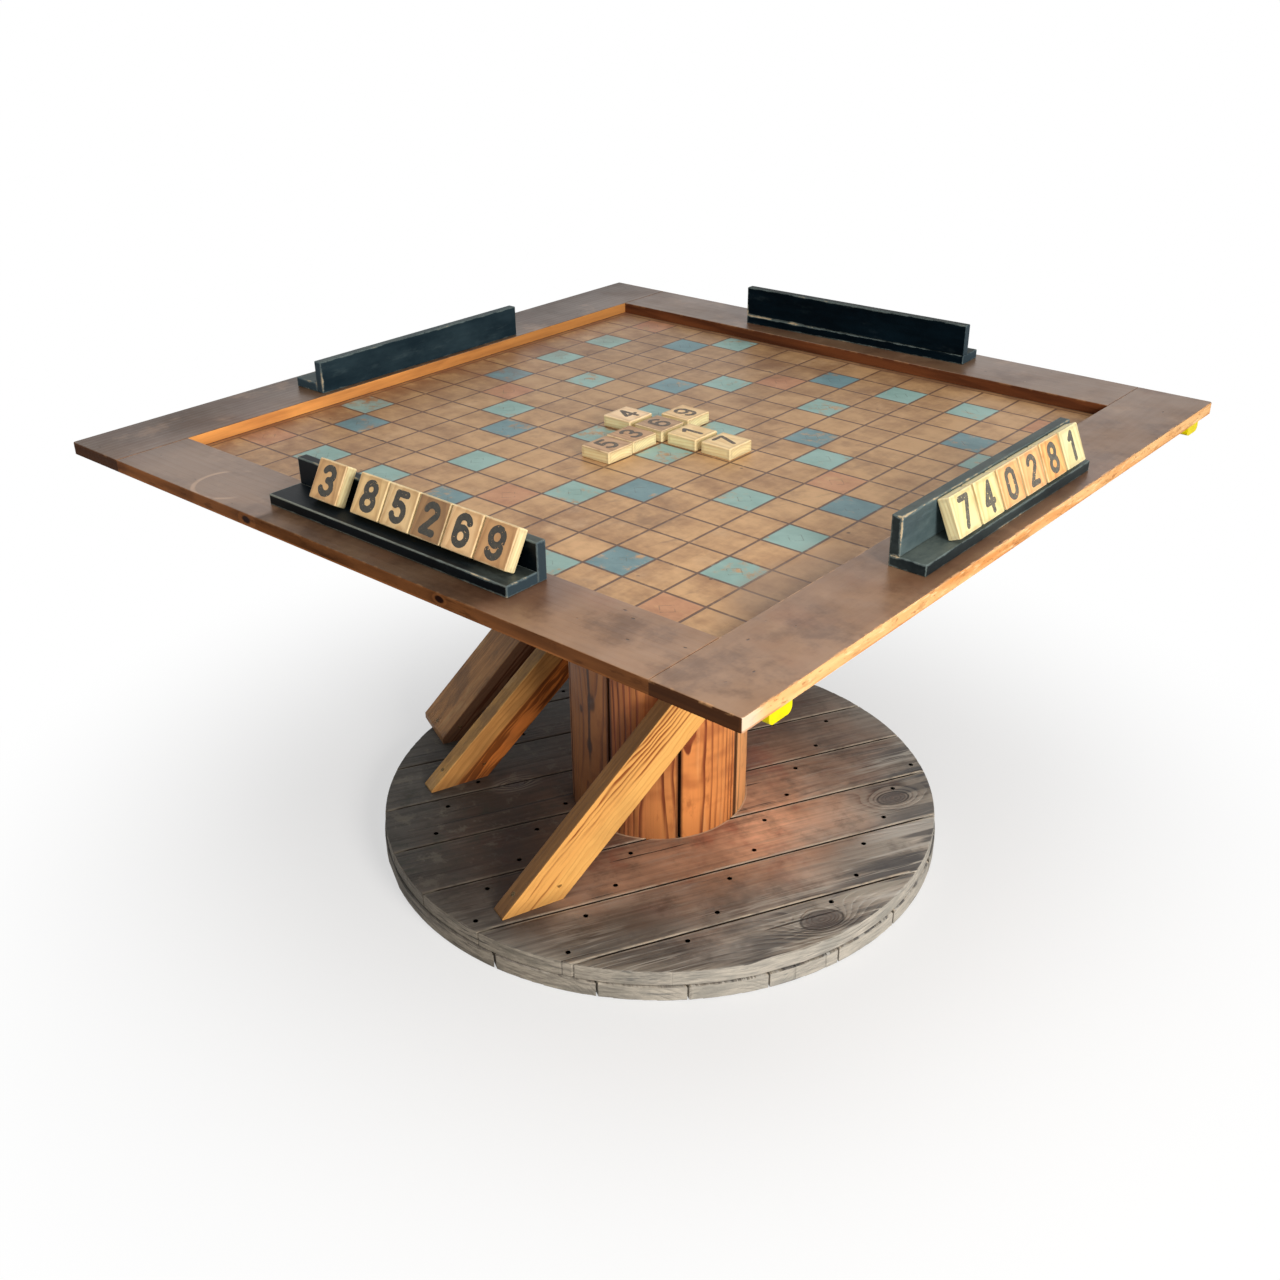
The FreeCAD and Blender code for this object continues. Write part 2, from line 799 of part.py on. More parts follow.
def build_rack(name, turn, tall):
    """Two nailed strips: a shelf, and a back behind it or, when tall, on top of it."""
    frame = rack_frame(name, turn)
    back_y = size.strip_width - size.strip_thick if tall else size.strip_width
    back_z = size.strip_thick if tall else size.strip_thick * 0
    shelf, shelf_pad = block(f"{name}_rack_shelf", size.rack_length, size.strip_width, size.strip_thick,
                             frame)
    round_edges(shelf, shelf_pad, size.strip_round)
    keep(shelf)
    back, back_pad = block(f"{name}_rack_back", size.rack_length, size.strip_thick, size.strip_width,
                           frame.multiply(turned(0, back_y, back_z)))
    round_edges(back, back_pad, size.strip_round)
    keep(back)
    return SimpleNamespace(frame=frame, face=float(back_y), top=float(back_z + size.strip_width))


# Tiles


def build_tile(label, place):
    """A tile: X across its face, Y up its face, Z out of its face."""
    body, base = block(label, size.tile_side, size.tile_side, size.tile_thick, place)
    round_edges(body, base, size.tile_round)
    keep(body)


def leaning_place(rack, along, lean):
    """A tile stood on the shelf and leant on the back, a seat gap clear of both."""
    gap = float(size.tile_seat_gap)
    edge = float(size.tile_round)
    sine, cosine = math.sin(math.radians(float(lean))), math.cos(math.radians(float(lean)))
    corner = float(size.strip_round)
    back = float(size.tile_side) - 2 * edge
    heel_z = float(size.strip_thick) + gap + edge
    drop = rack.top - corner - heel_z
    if back * cosine < drop:
        heel_y = rack.face - gap - edge - back * sine
    else:
        heel_y = rack.face + corner - (edge + corner + gap + drop * sine) / cosine
    origin_y = heel_y - edge * sine + edge * cosine
    origin_z = heel_z - edge * cosine - edge * sine
    local = Placement(spot(along, origin_y, origin_z), Rotation(Vector(1, 0, 0), 90 - float(lean)))
    return rack.frame.multiply(local)


def build_front_tiles(rack):
    """One tile on its own and five in a row that ends near the rack's right end."""
    pitch = float(size.tile_side + size.front_tile_gap)
    last = float(size.rack_length - size.tile_end_margin - size.tile_side)
    for index in range(RACK_TILES):
        along = last - (RACK_TILES - 1 - index) * pitch
        if index == 0:
            along -= float(size.front_tile_break - size.front_tile_gap)
        build_tile(f"front_tile_{index + 1}", leaning_place(rack, along, size.front_tile_lean))


def build_right_tiles(rack):
    pitch = float(size.tile_side + size.right_tile_gap)
    last = float(size.rack_length - size.tile_end_margin - size.tile_side)
    for index in range(RACK_TILES):
        along = last - (RACK_TILES - 1 - index) * pitch
        build_tile(f"right_tile_{index + 1}", leaning_place(rack, along, size.right_tile_lean))


def build_centre_tiles():
    """Seven tiles laid as a cross, read from the right edge, each loose in its cell."""
    facing = Rotation(Vector(0, 1, 0), Vector(-1, 0, 0), UP, "XYZ")
    play = float(size.cell_pitch - size.tile_side) / 2
    cells = [
        (0, -2, 0.9, 1.0),
        (0, -1, 0.6, -0.5),
        (0, 0, 1.0, -0.8),
        (0, 1, 0.9, -1.0),
        (-1, 0, 1.0, -0.5),
        (1, 0, 0.7, -0.6),
        (2, 0, 0.4, -0.4),
    ]
    half = float(size.tile_side) / 2
    for index, (column, row_number, slip_x, slip_y) in enumerate(cells, start=1):
        x = column * float(size.cell_pitch) + slip_x * play
        y = row_number * float(size.cell_pitch) + slip_y * play
        corner = spot(x + half, y - half, border_base)
        build_tile(f"centre_tile_{index}", Placement(corner, facing))


# Assembly

build_flanges()
build_flange_nails()
build_drum()
build_tie_rods()
build_braces()
build_turntable()
build_border()
build_border_screws()
build_battens()
build_batten_caps()
front_rack = build_rack("front", 0, tall=False)
right_rack = build_rack("right", 90, tall=True)
build_rack("rear", 180, tall=True)
build_rack("left", 270, tall=False)
build_front_tiles(front_rack)
build_right_tiles(right_rack)
build_centre_tiles()

doc.recompute()
for item in doc.Objects:
    if "Invalid" in item.State or "Error" in item.State:
        raise RuntimeError(f"{item.Label} failed: {item.State}")
for node in nodes:
    if node.Shape.isNull() or not node.Shape.isValid() or not node.Shape.Solids:
        raise RuntimeError(f"{node.Label} has no sound shape")

os.makedirs("parts", exist_ok=True)
for node in nodes:
    node.Shape.exportStep(f"parts/{node.Label}.step")
    box_of = node.Shape.BoundBox
    print(f"{node.Label}: {len(node.Shape.Solids)} solids, volume {node.Shape.Volume:.0f}, "
          f"z {box_of.ZMin:.1f} to {box_of.ZMax:.1f}")
print(f"{len(nodes)} nodes")
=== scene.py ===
from math import cos, pi, radians, sin

import bpy
import numpy as np
from mathutils import Matrix, Vector, noise


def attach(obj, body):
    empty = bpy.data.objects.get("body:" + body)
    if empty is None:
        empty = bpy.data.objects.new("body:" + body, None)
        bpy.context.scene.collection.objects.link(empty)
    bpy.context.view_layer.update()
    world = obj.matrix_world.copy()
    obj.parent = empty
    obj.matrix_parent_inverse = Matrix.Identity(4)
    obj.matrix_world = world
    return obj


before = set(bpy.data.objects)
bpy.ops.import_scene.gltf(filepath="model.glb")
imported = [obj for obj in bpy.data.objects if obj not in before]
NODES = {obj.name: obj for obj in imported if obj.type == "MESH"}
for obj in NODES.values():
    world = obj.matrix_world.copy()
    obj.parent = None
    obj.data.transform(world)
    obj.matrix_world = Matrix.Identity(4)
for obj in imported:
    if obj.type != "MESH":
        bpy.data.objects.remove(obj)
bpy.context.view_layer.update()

MM = 0.001

# Levels and places of the part, in metres
TOP = 0.716
BORDER_THICK = 0.018
HALF_TOP = 0.610
HALF_OPENING = 0.492
CELL = 0.064
FLANGE_TOP = 0.052
UPPER_FLANGE = 0.621
UPPER_FLANGE_TOP = 0.673
FLANGE_RADIUS = 0.472
GRAIN = radians(62)
PLANK_PITCH = 0.120
DRUM_RADIUS = 0.149
STAVES = 8
STAVE_SEAM = radians(7.3)
STAVE_TURN = 2 * pi / STAVES
STAVE_WIDTH = STAVE_TURN * DRUM_RADIUS


def rgb(colour):
    """A colour given as it looks on a screen, 0 to 255, in Blender's linear light."""
    def linear(value):
        value = value / 255
        return value / 12.92 if value <= 0.04045 else ((value + 0.055) / 1.055) ** 2.4
    return (*map(linear, colour), 1)


# --- Shader arithmetic ---


class Num:
    """A number that a shader works out at each point. Arithmetic on it adds Math nodes."""

    def __init__(self, shader, socket):
        self.shader, self.socket = shader, socket

    def __rsub__(self, other):
        return self.shader.math("SUBTRACT", other, self)

    def __rtruediv__(self, other):
        return self.shader.math("DIVIDE", other, self)

    def ramp(self, start, end, low=0, high=1):
        """low before start and high after end, with a smooth change between them."""
        made = self.shader.node("MapRange", interpolation_type="SMOOTHSTEP")
        return Num(self.shader, self.shader.fed(made, self, start, end, low, high).outputs["Result"])


def give(name, operation):
    """Gives Num a method or an operator that adds one kind of Math node."""
    setattr(Num, name, lambda self, *others: self.shader.math(operation, self, *others))


for method, kind in (("__add__", "ADD"), ("__radd__", "ADD"), ("__sub__", "SUBTRACT"), ("__mul__", "MULTIPLY"),
                     ("__truediv__", "DIVIDE"), ("abs", "ABSOLUTE"), ("floor", "FLOOR"), ("fract", "FRACT"),
                     ("root", "SQRT"), ("least", "MINIMUM"), ("most", "MAXIMUM"), ("above", "GREATER_THAN"),
                     ("below", "LESS_THAN")):
    give(method, kind)


def hypot(a, b):
    return (a * a + b * b).root()


class Shader:
    """The nodes of one material round a Principled BSDF, and the colour laid on so far.

    A colour is three numbers as on a screen, four in linear light, or a socket.
    """

    def __init__(self, name):
        self.material = bpy.data.materials.new(name)
        self.material.use_nodes = True
        tree = self.material.node_tree
        self.nodes, self.links = tree.nodes, tree.links
        self.nodes.clear()
        self.output = self.node("OutputMaterial")
        self.bsdf = self.node("BsdfPrincipled")
        self.links.new(self.bsdf.outputs[0], self.output.inputs["Surface"])
        where = self.node("TexCoord")
        self.place = where.outputs["Object"]
        self.x, self.y, self.z = self.split(self.place)
        self.facing = self.split(where.outputs["Normal"])
        self.colour = None

    def node(self, kind, **settings):
        made = self.nodes.new("ShaderNode" + kind)
        for key, value in settings.items():
            setattr(made, key, value)
        return made

    def feed(self, socket, value):
        value = getattr(value, "socket", value)
        if isinstance(value, bpy.types.NodeSocket):
            self.links.new(value, socket)
        else:
            is_screen_colour = isinstance(value, tuple) and len(value) == 3
            socket.default_value = rgb(value) if is_screen_colour else value

    def feed_all(self, made, values):
        for name, value in values.items():
            self.feed(made.inputs[name], value)

    def fed(self, made, *values):
        """A node with its first inputs fed."""
        self.feed_all(made, dict(enumerate(values)))
        return made

    def math(self, operation, *values):
        return Num(self, self.fed(self.node("Math", operation=operation), *values).outputs[0])

    def split(self, vector):
        return [Num(self, socket) for socket in self.fed(self.node("SeparateXYZ"), vector).outputs]

    def join(self, *places):
        return self.fed(self.node("CombineXYZ"), *places).outputs[0]

    def along(self, direction, origin=(0, 0, 0)):
        """How far the point lies from origin along a direction."""
        away = Vector(direction)
        made = self.fed(self.node("VectorMath", operation="DOT_PRODUCT"), self.place)
        made.inputs[1].default_value = away
        return Num(self, made.outputs["Value"]) - away.dot(Vector(origin))

    def grain_axes(self, angle):
        """How far the point lies along and across a grain that runs at an angle to x."""
        return self.along((cos(angle), sin(angle), 0)), self.along((-sin(angle), cos(angle), 0))

    def texture(self, kind, output, place, **inputs):
        """A texture's value at a place, with its other inputs set."""
        made = self.node(kind)
        self.feed_all(made, {"Vector": self.join(*place), **inputs})
        return Num(self, made.outputs[output])

    def noise(self, x, y, z, detail=2, rough=0.5):
        return self.texture("TexNoise", 0, (x, y, z), Scale=1, Detail=detail, Roughness=rough)

    def flat(self, scale, level, detail=2, rough=0.5, shift=0):
        """Noise over the plan, with a level and a shift that pick a part of it."""
        x = self.x * scale
        return self.noise(x + shift if shift else x, self.y * scale, level, detail, rough)

    def solid(self, scale, detail=2, rough=0.5):
        return self.noise(self.x * scale, self.y * scale, self.z * scale, detail, rough)

    def spots(self, *place):
        """Distance to the nearest of scattered points, one to each unit cell."""
        return self.texture("TexVoronoi", "Distance", place, Scale=1)

    def random(self, *place):
        return self.texture("TexWhiteNoise", "Value", place)

    def far(self, x, y):
        """Distance from a point of the plan."""
        return hypot(self.x - x, self.y - y)

    def mix(self, share, first, second):
        made = self.node("Mix", data_type="RGBA", blend_type="MIX", clamp_factor=True)
        sockets = [s for s in made.inputs if s.type == "RGBA"]
        for socket, value in zip((made.inputs[0], *sockets), (share, first, second)):
            self.feed(socket, value)
        return next(s for s in made.outputs if s.type == "RGBA")

    def blend(self, share, first, second):
        """A mix that eases out of the first colour and into the second."""
        return self.mix(share.ramp(0, 1), first, second)

    def tone(self, colour, factor):
        """The colour made lighter or darker."""
        if isinstance(colour, tuple):
            return (*(part * factor for part in rgb(colour)[:3]), 1)
        made = self.fed(self.node("VectorMath", operation="SCALE"), colour)
        self.feed(made.inputs["Scale"], factor)
        return made.outputs[0]

    def layer(self, share, colour):
        """Lays a colour over the one so far."""
        self.colour = self.mix(share, self.colour, colour)

    def stain(self, pattern, start, end, share, colour):
        """Lays a colour where a pattern has gone from start to end."""
        self.layer(pattern.ramp(start, end) * share, colour)

    def shade(self, factor):
        self.colour = self.tone(self.colour, factor)

    def finish(self, rough, height=None, depth=0.0005, gloss=0.5, metallic=0):
        self.feed_all(self.bsdf, {"Base Color": self.colour, "Roughness": rough, "Specular IOR Level": gloss,
                                  "Metallic": metallic})
        if height is not None:
            bump = self.node("Bump")
            self.feed_all(bump, {"Distance": depth, "Strength": 1, "Height": height})
            self.links.new(bump.outputs[0], self.bsdf.inputs["Normal"])
        return self.material


# --- Wood ---


def knot_field(u, v, knots):
    """How far knots push the rings, whether the point is in a knot, and whether it is beside one."""
    if not knots:
        return 0, 0, 0
    push, nearest = 0, None
    for along, across, size in knots:
        ratio = hypot((u - along) / 1.7, v - across) / size
        push = push + 2.6 * size / (ratio * ratio + 1)
        nearest = ratio if nearest is None else nearest.least(ratio)
    return push, nearest.ramp(1, 0.6), nearest.ramp(3, 1.5)


def growth(sh, u, v, w, spacing, pith=(0.02, -0.07), taper=0.015, wander=0.02, seed=0, knots=()):
    """Latewood lines of a board whose grain runs along u, from 0 to 1, and its knots."""
    slow = sh.noise(u * 1.2, v * 4 + seed, w * 4, 1)
    waver = sh.noise(u * 5, v * 22, w * 22 + seed)
    radius = hypot(v - pith[0], w - pith[1]) + u * taper + slow * (wander * 4) + waver * (wander * 0.25)
    push, heart, _ = knot_field(u, v, knots)
    ring = ((radius + push) / spacing).fract()
    return ring.ramp(0.25, 0.85) * ring.ramp(1, 0.9), heart


def fibres(sh, u, v, w, fine, length, seed=0):
    """Short thin streaks along the grain, about 0.5 on average."""
    return sh.noise(u * length, v * fine + seed, w * fine, 3, 0.6)


def box_edges(local, low, high):
    """Distances inside the nearer face of each pair of a box, and to its nearest edge."""
    a, b, c = offsets = [(p - lo).least(hi - p) for p, lo, hi in zip(local, low, high)]
    return offsets, a.least(b).most(a.most(b).least(c))


# --- Border ---


def stained_border(side, outer, wall, wear, outer_knots=()):
    """Dark stained board with a varnish sheen, raw where its outer edge and opening wall are."""
    name = f"border_{side}"
    sh = Shader(name)
    runs_along_x = side in ("front", "rear")
    u, v = (sh.x, sh.y) if runs_along_x else (sh.y, sh.x)
    w = sh.z - TOP
    rings, _ = growth(sh, u, v, w, 0.011, pith=(0.56, -0.09), wander=0.012, seed=len(name) * 1.7)
    streaks = fibres(sh, u, v, w, 120, 4, len(name) * 3.1)
    cloud = sh.flat(5, 0, 3)
    broad = sh.flat(2.2, 3, shift=5)
    mottle = sh.flat(26, 4, 4, 0.62)
    stain = rings * 0.03 + streaks * 0.16 + cloud * 0.9 + broad * 0.8 + mottle * 0.5 - 0.85
    sh.colour = sh.blend(stain, (150, 116, 88), (98, 70, 51))
    sh.stain(sh.flat(6.5, 15, 4, 0.6, 9), 0.5, 0.66, 0.3, (128, 78, 50))
    if side == "right":
        # painted shade and reflection of the right rack on the border beside it
        rack_shade = (sh.y + (cloud - 0.5) * 0.1).ramp(-0.3, -0.24) * sh.y.ramp(0.3, 0.16) * sh.x.ramp(0.548, 0.57)
        sh.layer(rack_shade * 0.45, (88, 56, 38))
    # painted light and shade: lighter towards the near corner and darker towards the left and far corners
    painted_light_share = (sh.x - sh.y + (broad - 0.5) * 0.8).ramp(-0.9, 1.1)
    sh.shade((painted_light_share * 0.46 + 0.54) * sh.x.ramp(-0.62, -0.42, 0.48, 1))
    if side == "front":
        sh.shade(sh.x.ramp(0.16, 0.34, 1, 1.28))
    if side == "right":
        sh.shade(sh.y.ramp(-0.22, -0.32, 1, 1.2))

    # worn-in grime, pale scuffs and dark specks
    grime = sh.flat(8, 6, 5, 0.68, 2)
    sh.stain(grime, 0.48, 0.66, 0.55, (76, 50, 35))
    sh.stain(sh.flat(13, 9, 4, 0.6), 0.56, 0.72, 0.3, (176, 140, 110))
    scuff = sh.noise(u * 16, v * 60, 3, 4, 0.7).ramp(0.68, 0.76)
    sh.layer(scuff * 0.55, (182, 148, 118))
    nick = sh.noise(sh.x * 70 + sh.y * 30, sh.y * 26 - sh.x * 10, 12).ramp(0.76, 0.8)
    sh.layer(nick * 0.6, (204, 166, 132))
    speck = sh.spots(u * 28, v * 52, 0).ramp(0.09, 0.05) * cloud.ramp(0.5, 0.56)
    sh.layer(speck * 0.7, (38, 26, 20))
    shaded = 0
    if side == "front":
        # the pale ring that a cup left, a painted dark reflection by the rack's right end, and painted shade
        # and reflection of the rack on the varnish before it
        cup = (sh.far(-0.287, -0.562) - 0.05).abs().ramp(0.0045, 0.0015)
        left_part = sh.flat(24, 1).ramp(0.36, 0.56) * (sh.x + sh.y).ramp(-0.8, -0.87)
        sh.layer(cup * left_part * 0.75, (182, 146, 116))
        sh.stain(sh.far(0.255, -0.535) + (cloud - 0.5) * 0.05, 0.085, 0.03, 0.55, (84, 52, 38))
        shaded = sh.x.ramp(-0.172, -0.16) * (sh.x + (cloud - 0.5) * 0.12).ramp(0.285, 0.22)
        shaded = shaded * (sh.y + (mottle - 0.5) * 0.006).ramp(-0.553, -0.562)
        sh.shade(1 - shaded * sh.x.ramp(-0.15, 0.15, 0.46, 0.64))

    # outer edge
    across = v.abs()
    lines, hearts = growth(sh, u, w, v, 0.0075, pith=(-0.03, 0.4), wander=0.01, seed=2, knots=outer_knots)
    edge_tone = sh.noise(u * 7, sh.z * 60, v, 3)
    top_side, sh.colour = sh.colour, sh.blend(lines * 0.25 + edge_tone * 1.3 - 0.35, *outer)
    bruise = sh.noise(u * 16, sh.z * 70, 2, 4, 0.7)
    sh.stain(bruise, 0.54, 0.68, 0.5, sh.tone(outer[1], 0.45))
    # painted sheen: the front and rear outer edges lighter towards their left ends
    if runs_along_x:
        sh.shade(sh.x.ramp(-0.6, 0, 1.7, 1))
    else:
        sh.stain(sh.noise(u * 55, sh.z * 160, 6, 4, 0.7), 0.56, 0.66, 0.6, (150, 84, 42))
        sh.stain(sh.noise(u * 30, sh.z * 190, 9, 3, 0.6), 0.56, 0.68, 0.5, (255, 226, 176))
        sh.layer(sh.y.ramp(-0.562, -0.6) * edge_tone.ramp(0.35, 0.6, 0.3, 0.8), (222, 206, 184))
    low_arris = (sh.z - (TOP - BORDER_THICK)).ramp(0.0032, 0.0012) * edge_tone.ramp(0.38, 0.55)
    sh.layer(low_arris * 0.6, (186, 118, 66))
    if outer_knots:
        sh.layer(hearts, (34, 15, 9))

    # opening wall and ends
    wall_tone = sh.noise(u * 4, sh.z * 40, v * 4, 4, 0.6)
    wall_colour = sh.mix((wall_tone * 1.5 - 0.35 + lines * 0.2).ramp(0.1, 0.9), *wall)
    wall_colour = sh.tone(wall_colour, sh.y.ramp(-0.5, 0.3, 1.25, 0.72))
    at_end = (sh.facing[0] if runs_along_x else sh.facing[1]).abs().ramp(0.6, 0.8)
    sh.colour = sh.mix(across.ramp(0.58, 0.6), wall_colour, sh.colour)
    sh.layer(at_end, sh.blend(edge_tone * 1.4 - 0.3, (92, 56, 32), (52, 30, 18)))
    upright = sh.facing[2].abs().ramp(0.8, 0.4)
    sh.colour = sh.mix(upright, top_side, sh.colour)

    # worn arrises
    from_edge = (HALF_TOP - across).least(HALF_TOP - u.abs()).least((across - HALF_OPENING).abs())
    worn = from_edge.ramp(0.003, 0.0006) * (TOP - sh.z).ramp(0.004, 0) * sh.solid(60, 3).ramp(0.5, 0.62)
    sh.layer(worn * wear, (196, 146, 100))
    rough = (streaks * 0.1 + 0.2 + grime * 0.16 + scuff * 0.2) + upright * 0.3
    height = rings * 0.15 + streaks * 0.5 - speck * 1.5 - nick * 0.6
    sheen = sh.flat(4, 21, 4, 0.62).ramp(0.36, 0.62)
    gloss = (sheen * 0.5 + 0.22) * sh.x.ramp(-0.6, -0.4, 0.35, 1) * (1 - upright) + upright * 0.06
    return sh.finish(rough, height, 0.00045, gloss * (1 - shaded * 0.8))


# --- Board panel ---

# Tinted squares of one quarter of the board, which the other three repeat by quarter turns
LIGHT_SQUARES = ((1, 1), (2, 4), (4, 1), (5, 6), (7, 3), (3, 6))
DEEP_SQUARES = ((3, 2), (6, 4), (1, 6))
WARM_SQUARES = ((5, 0), (7, 6))
LINE_WAVER = 0.0022


def any_of(sh, squares, folded):
    """1 in the given squares and 0 in the others."""
    found = 0
    for square in squares:
        gap = sh.fed(sh.node("VectorMath", operation="DISTANCE"), folded)
        gap.inputs[1].default_value = (*square, 0)
        found = Num(sh, gap.outputs["Value"]).below(0.5) + found
    return found


def board_squares():
    """Old varnished plywood with a grid of ruled squares, some of them tinted."""
    sh = Shader("board_squares")
    across = (sh.x + (sh.noise(sh.x * 9, sh.y * 3, 5) - 0.5) * LINE_WAVER) / CELL + 0.5
    up = (sh.y + (sh.noise(sh.x * 3, sh.y * 9, 9) - 0.5) * LINE_WAVER) / CELL + 0.5
    column, row = across.floor(), up.floor()
    local_x, local_y = (across.fract() - 0.5).abs(), (up.fract() - 0.5).abs()
    from_line = (0.5 - local_x.most(local_y)) * CELL

    # fold the squares onto one quarter by quarter turns
    east = column.above(0.5) * row.above(-0.5)
    north = column.below(0.5) * row.above(0.5)
    west = column.below(-0.5) * row.below(0.5)
    south = column.above(-0.5) * row.below(-0.5)
    i = east * column + north * row - west * column - south * row
    j = east * row - north * column - west * row + south * column
    folded = sh.join(i, j)
    light, deep, warm = (any_of(sh, squares, folded) for squares in (LIGHT_SQUARES, DEEP_SQUARES, WARM_SQUARES))

    # clouds, streaks and stains
    cloud = sh.flat(4, 1, 4, 0.6)
    mottle = sh.noise(sh.x * 17, sh.y * 22, 2, 4, 0.65)
    streaks = fibres(sh, sh.y, sh.x, 0, 90, 5)
    cell_tone = sh.random(column + 0.5, row + 0.5)
    sh.colour = sh.blend(cloud * 1.2 + mottle * 1.4 + streaks * 0.35 + cell_tone * 0.2 - 1.18,
                         (216, 170, 120), (146, 105, 70))
    # painted shade: the board darker towards its far left corner
    sh.shade((sh.x - sh.y + (cloud - 0.5) * 0.7).ramp(-0.8, 0.9) * 0.38 + 0.64)
    sh.stain(sh.flat(6, 7, 5, 0.72, 4), 0.53, 0.72, 0.55, (104, 74, 52))
    sh.stain(sh.noise(sh.x * 11, sh.y * 8, 11, 5, 0.7), 0.56, 0.72, 0.35, (214, 178, 140))
    sh.stain(sh.noise(sh.x * 30 - sh.y * 12, sh.y * 7 + sh.x * 3, 13, 4, 0.7), 0.6, 0.74, 0.4, (92, 64, 46))

    # tints, worn through in places
    worn = sh.flat(55, 4, 4, 0.7)
    hold = (worn * 0.6 + sh.flat(9, 6, 3) * 0.6).ramp(0.78, 0.62)
    tint_tone = (mottle * 0.9 + cloud * 0.5 - 0.3).ramp(0.1, 0.9)
    for squares, share, *tints in (
            (light, 0.93, (146, 184, 178), (118, 152, 144)), (deep, 0.93, (104, 144, 152), (74, 110, 116)),
            (warm, 0.5, (196, 128, 98), (160, 98, 68))):
        sh.layer(squares * hold * share, sh.mix(tint_tone, *tints))

    # a faint pencilled diamond in each tinted square
    diamond = ((local_x + local_y) - 0.19).abs().ramp(0.02, 0.008)
    sh.layer(diamond * (light + deep + warm) * worn.ramp(0.42, 0.55) * 0.42, (74, 62, 52))

    # ruled lines, and the plain margin beyond them
    from_middle = sh.x.abs().most(sh.y.abs())
    line = from_line.ramp(0.0025, 0.0014) * worn.ramp(0.36, 0.46, 0.65, 1)
    line = line * from_middle.ramp(0.481, 0.4822, 1, 0)
    sh.layer(line * 0.92, (84, 57, 42))
    sh.layer((1 - from_middle.ramp(0.4795, 0.4805, 1, 0)) * 0.55, (120, 82, 54))

    # painted shade towards the walls and a painted shadow line where they meet the board, dark specks and pale
    # scratches
    to_wall = (HALF_OPENING - sh.x.abs()).least(HALF_OPENING - sh.y.abs())
    sh.layer(to_wall.ramp(0.05, 0) * mottle.ramp(0.3, 0.65) * 0.55, (84, 54, 36))
    sh.stain(to_wall, 0.0045, 0.0015, 0.85, (44, 27, 18))
    speck = sh.spots(sh.x * 21, sh.y * 21, 2).ramp(0.075, 0.03) * cloud.ramp(0.48, 0.54)
    sh.layer(speck * 0.7, (48, 34, 26))
    sh.stain(sh.noise(sh.x * 120 + sh.y * 60, sh.y * 8 - sh.x * 4, 8), 0.74, 0.78, 0.35, (214, 180, 142))
    smudge = hypot((sh.x - 0.452) / 0.055, (sh.y + 0.3) / 0.14) + (mottle - 0.5) * 0.9
    sh.stain(smudge, 1.1, 0.5, 0.55, (132, 108, 90))
    ruddy = (sh.x + (cloud - 0.5) * 0.5).ramp(-0.3, -0.46) * mottle.ramp(0.36, 0.6)
    sh.layer(ruddy * 0.35, (132, 82, 60))

    # the underside and edges are plain
    under = sh.mix(sh.noise(sh.x * 3, sh.y * 40, sh.z * 40), (176, 138, 98), (140, 104, 70))
    sh.colour = sh.mix(sh.facing[2].ramp(0.2, 0.5), under, sh.colour)
    rough = mottle * 0.14 + 0.36 + worn * 0.06
    height = line * -1 + streaks * 0.25 - speck * 0.8 + (light + deep) * hold * 0.12
    return sh.finish(rough, height, 0.0004)


# --- Reel ---


def turned(x, y, angle):
    """A place of the plan as (along, across) a line at an angle to x."""
    return x * cos(angle) + y * sin(angle), y * cos(angle) - x * sin(angle)


PLANK_KNOTS = tuple((*turned(x, y, GRAIN), size) for x, y, size in (
    (0.414, -0.115, 0.024), (0.328, 0.23, 0.02), (-0.2, -0.15, 0.011), (-0.17, 0.33, 0.012)))
DRUM_KNOTS = ((0.2, -2.6, 0.03), (0.42, 0.9, 0.03), (0.15, 2.4, 0.035))
RING_SPACING = 0.0065


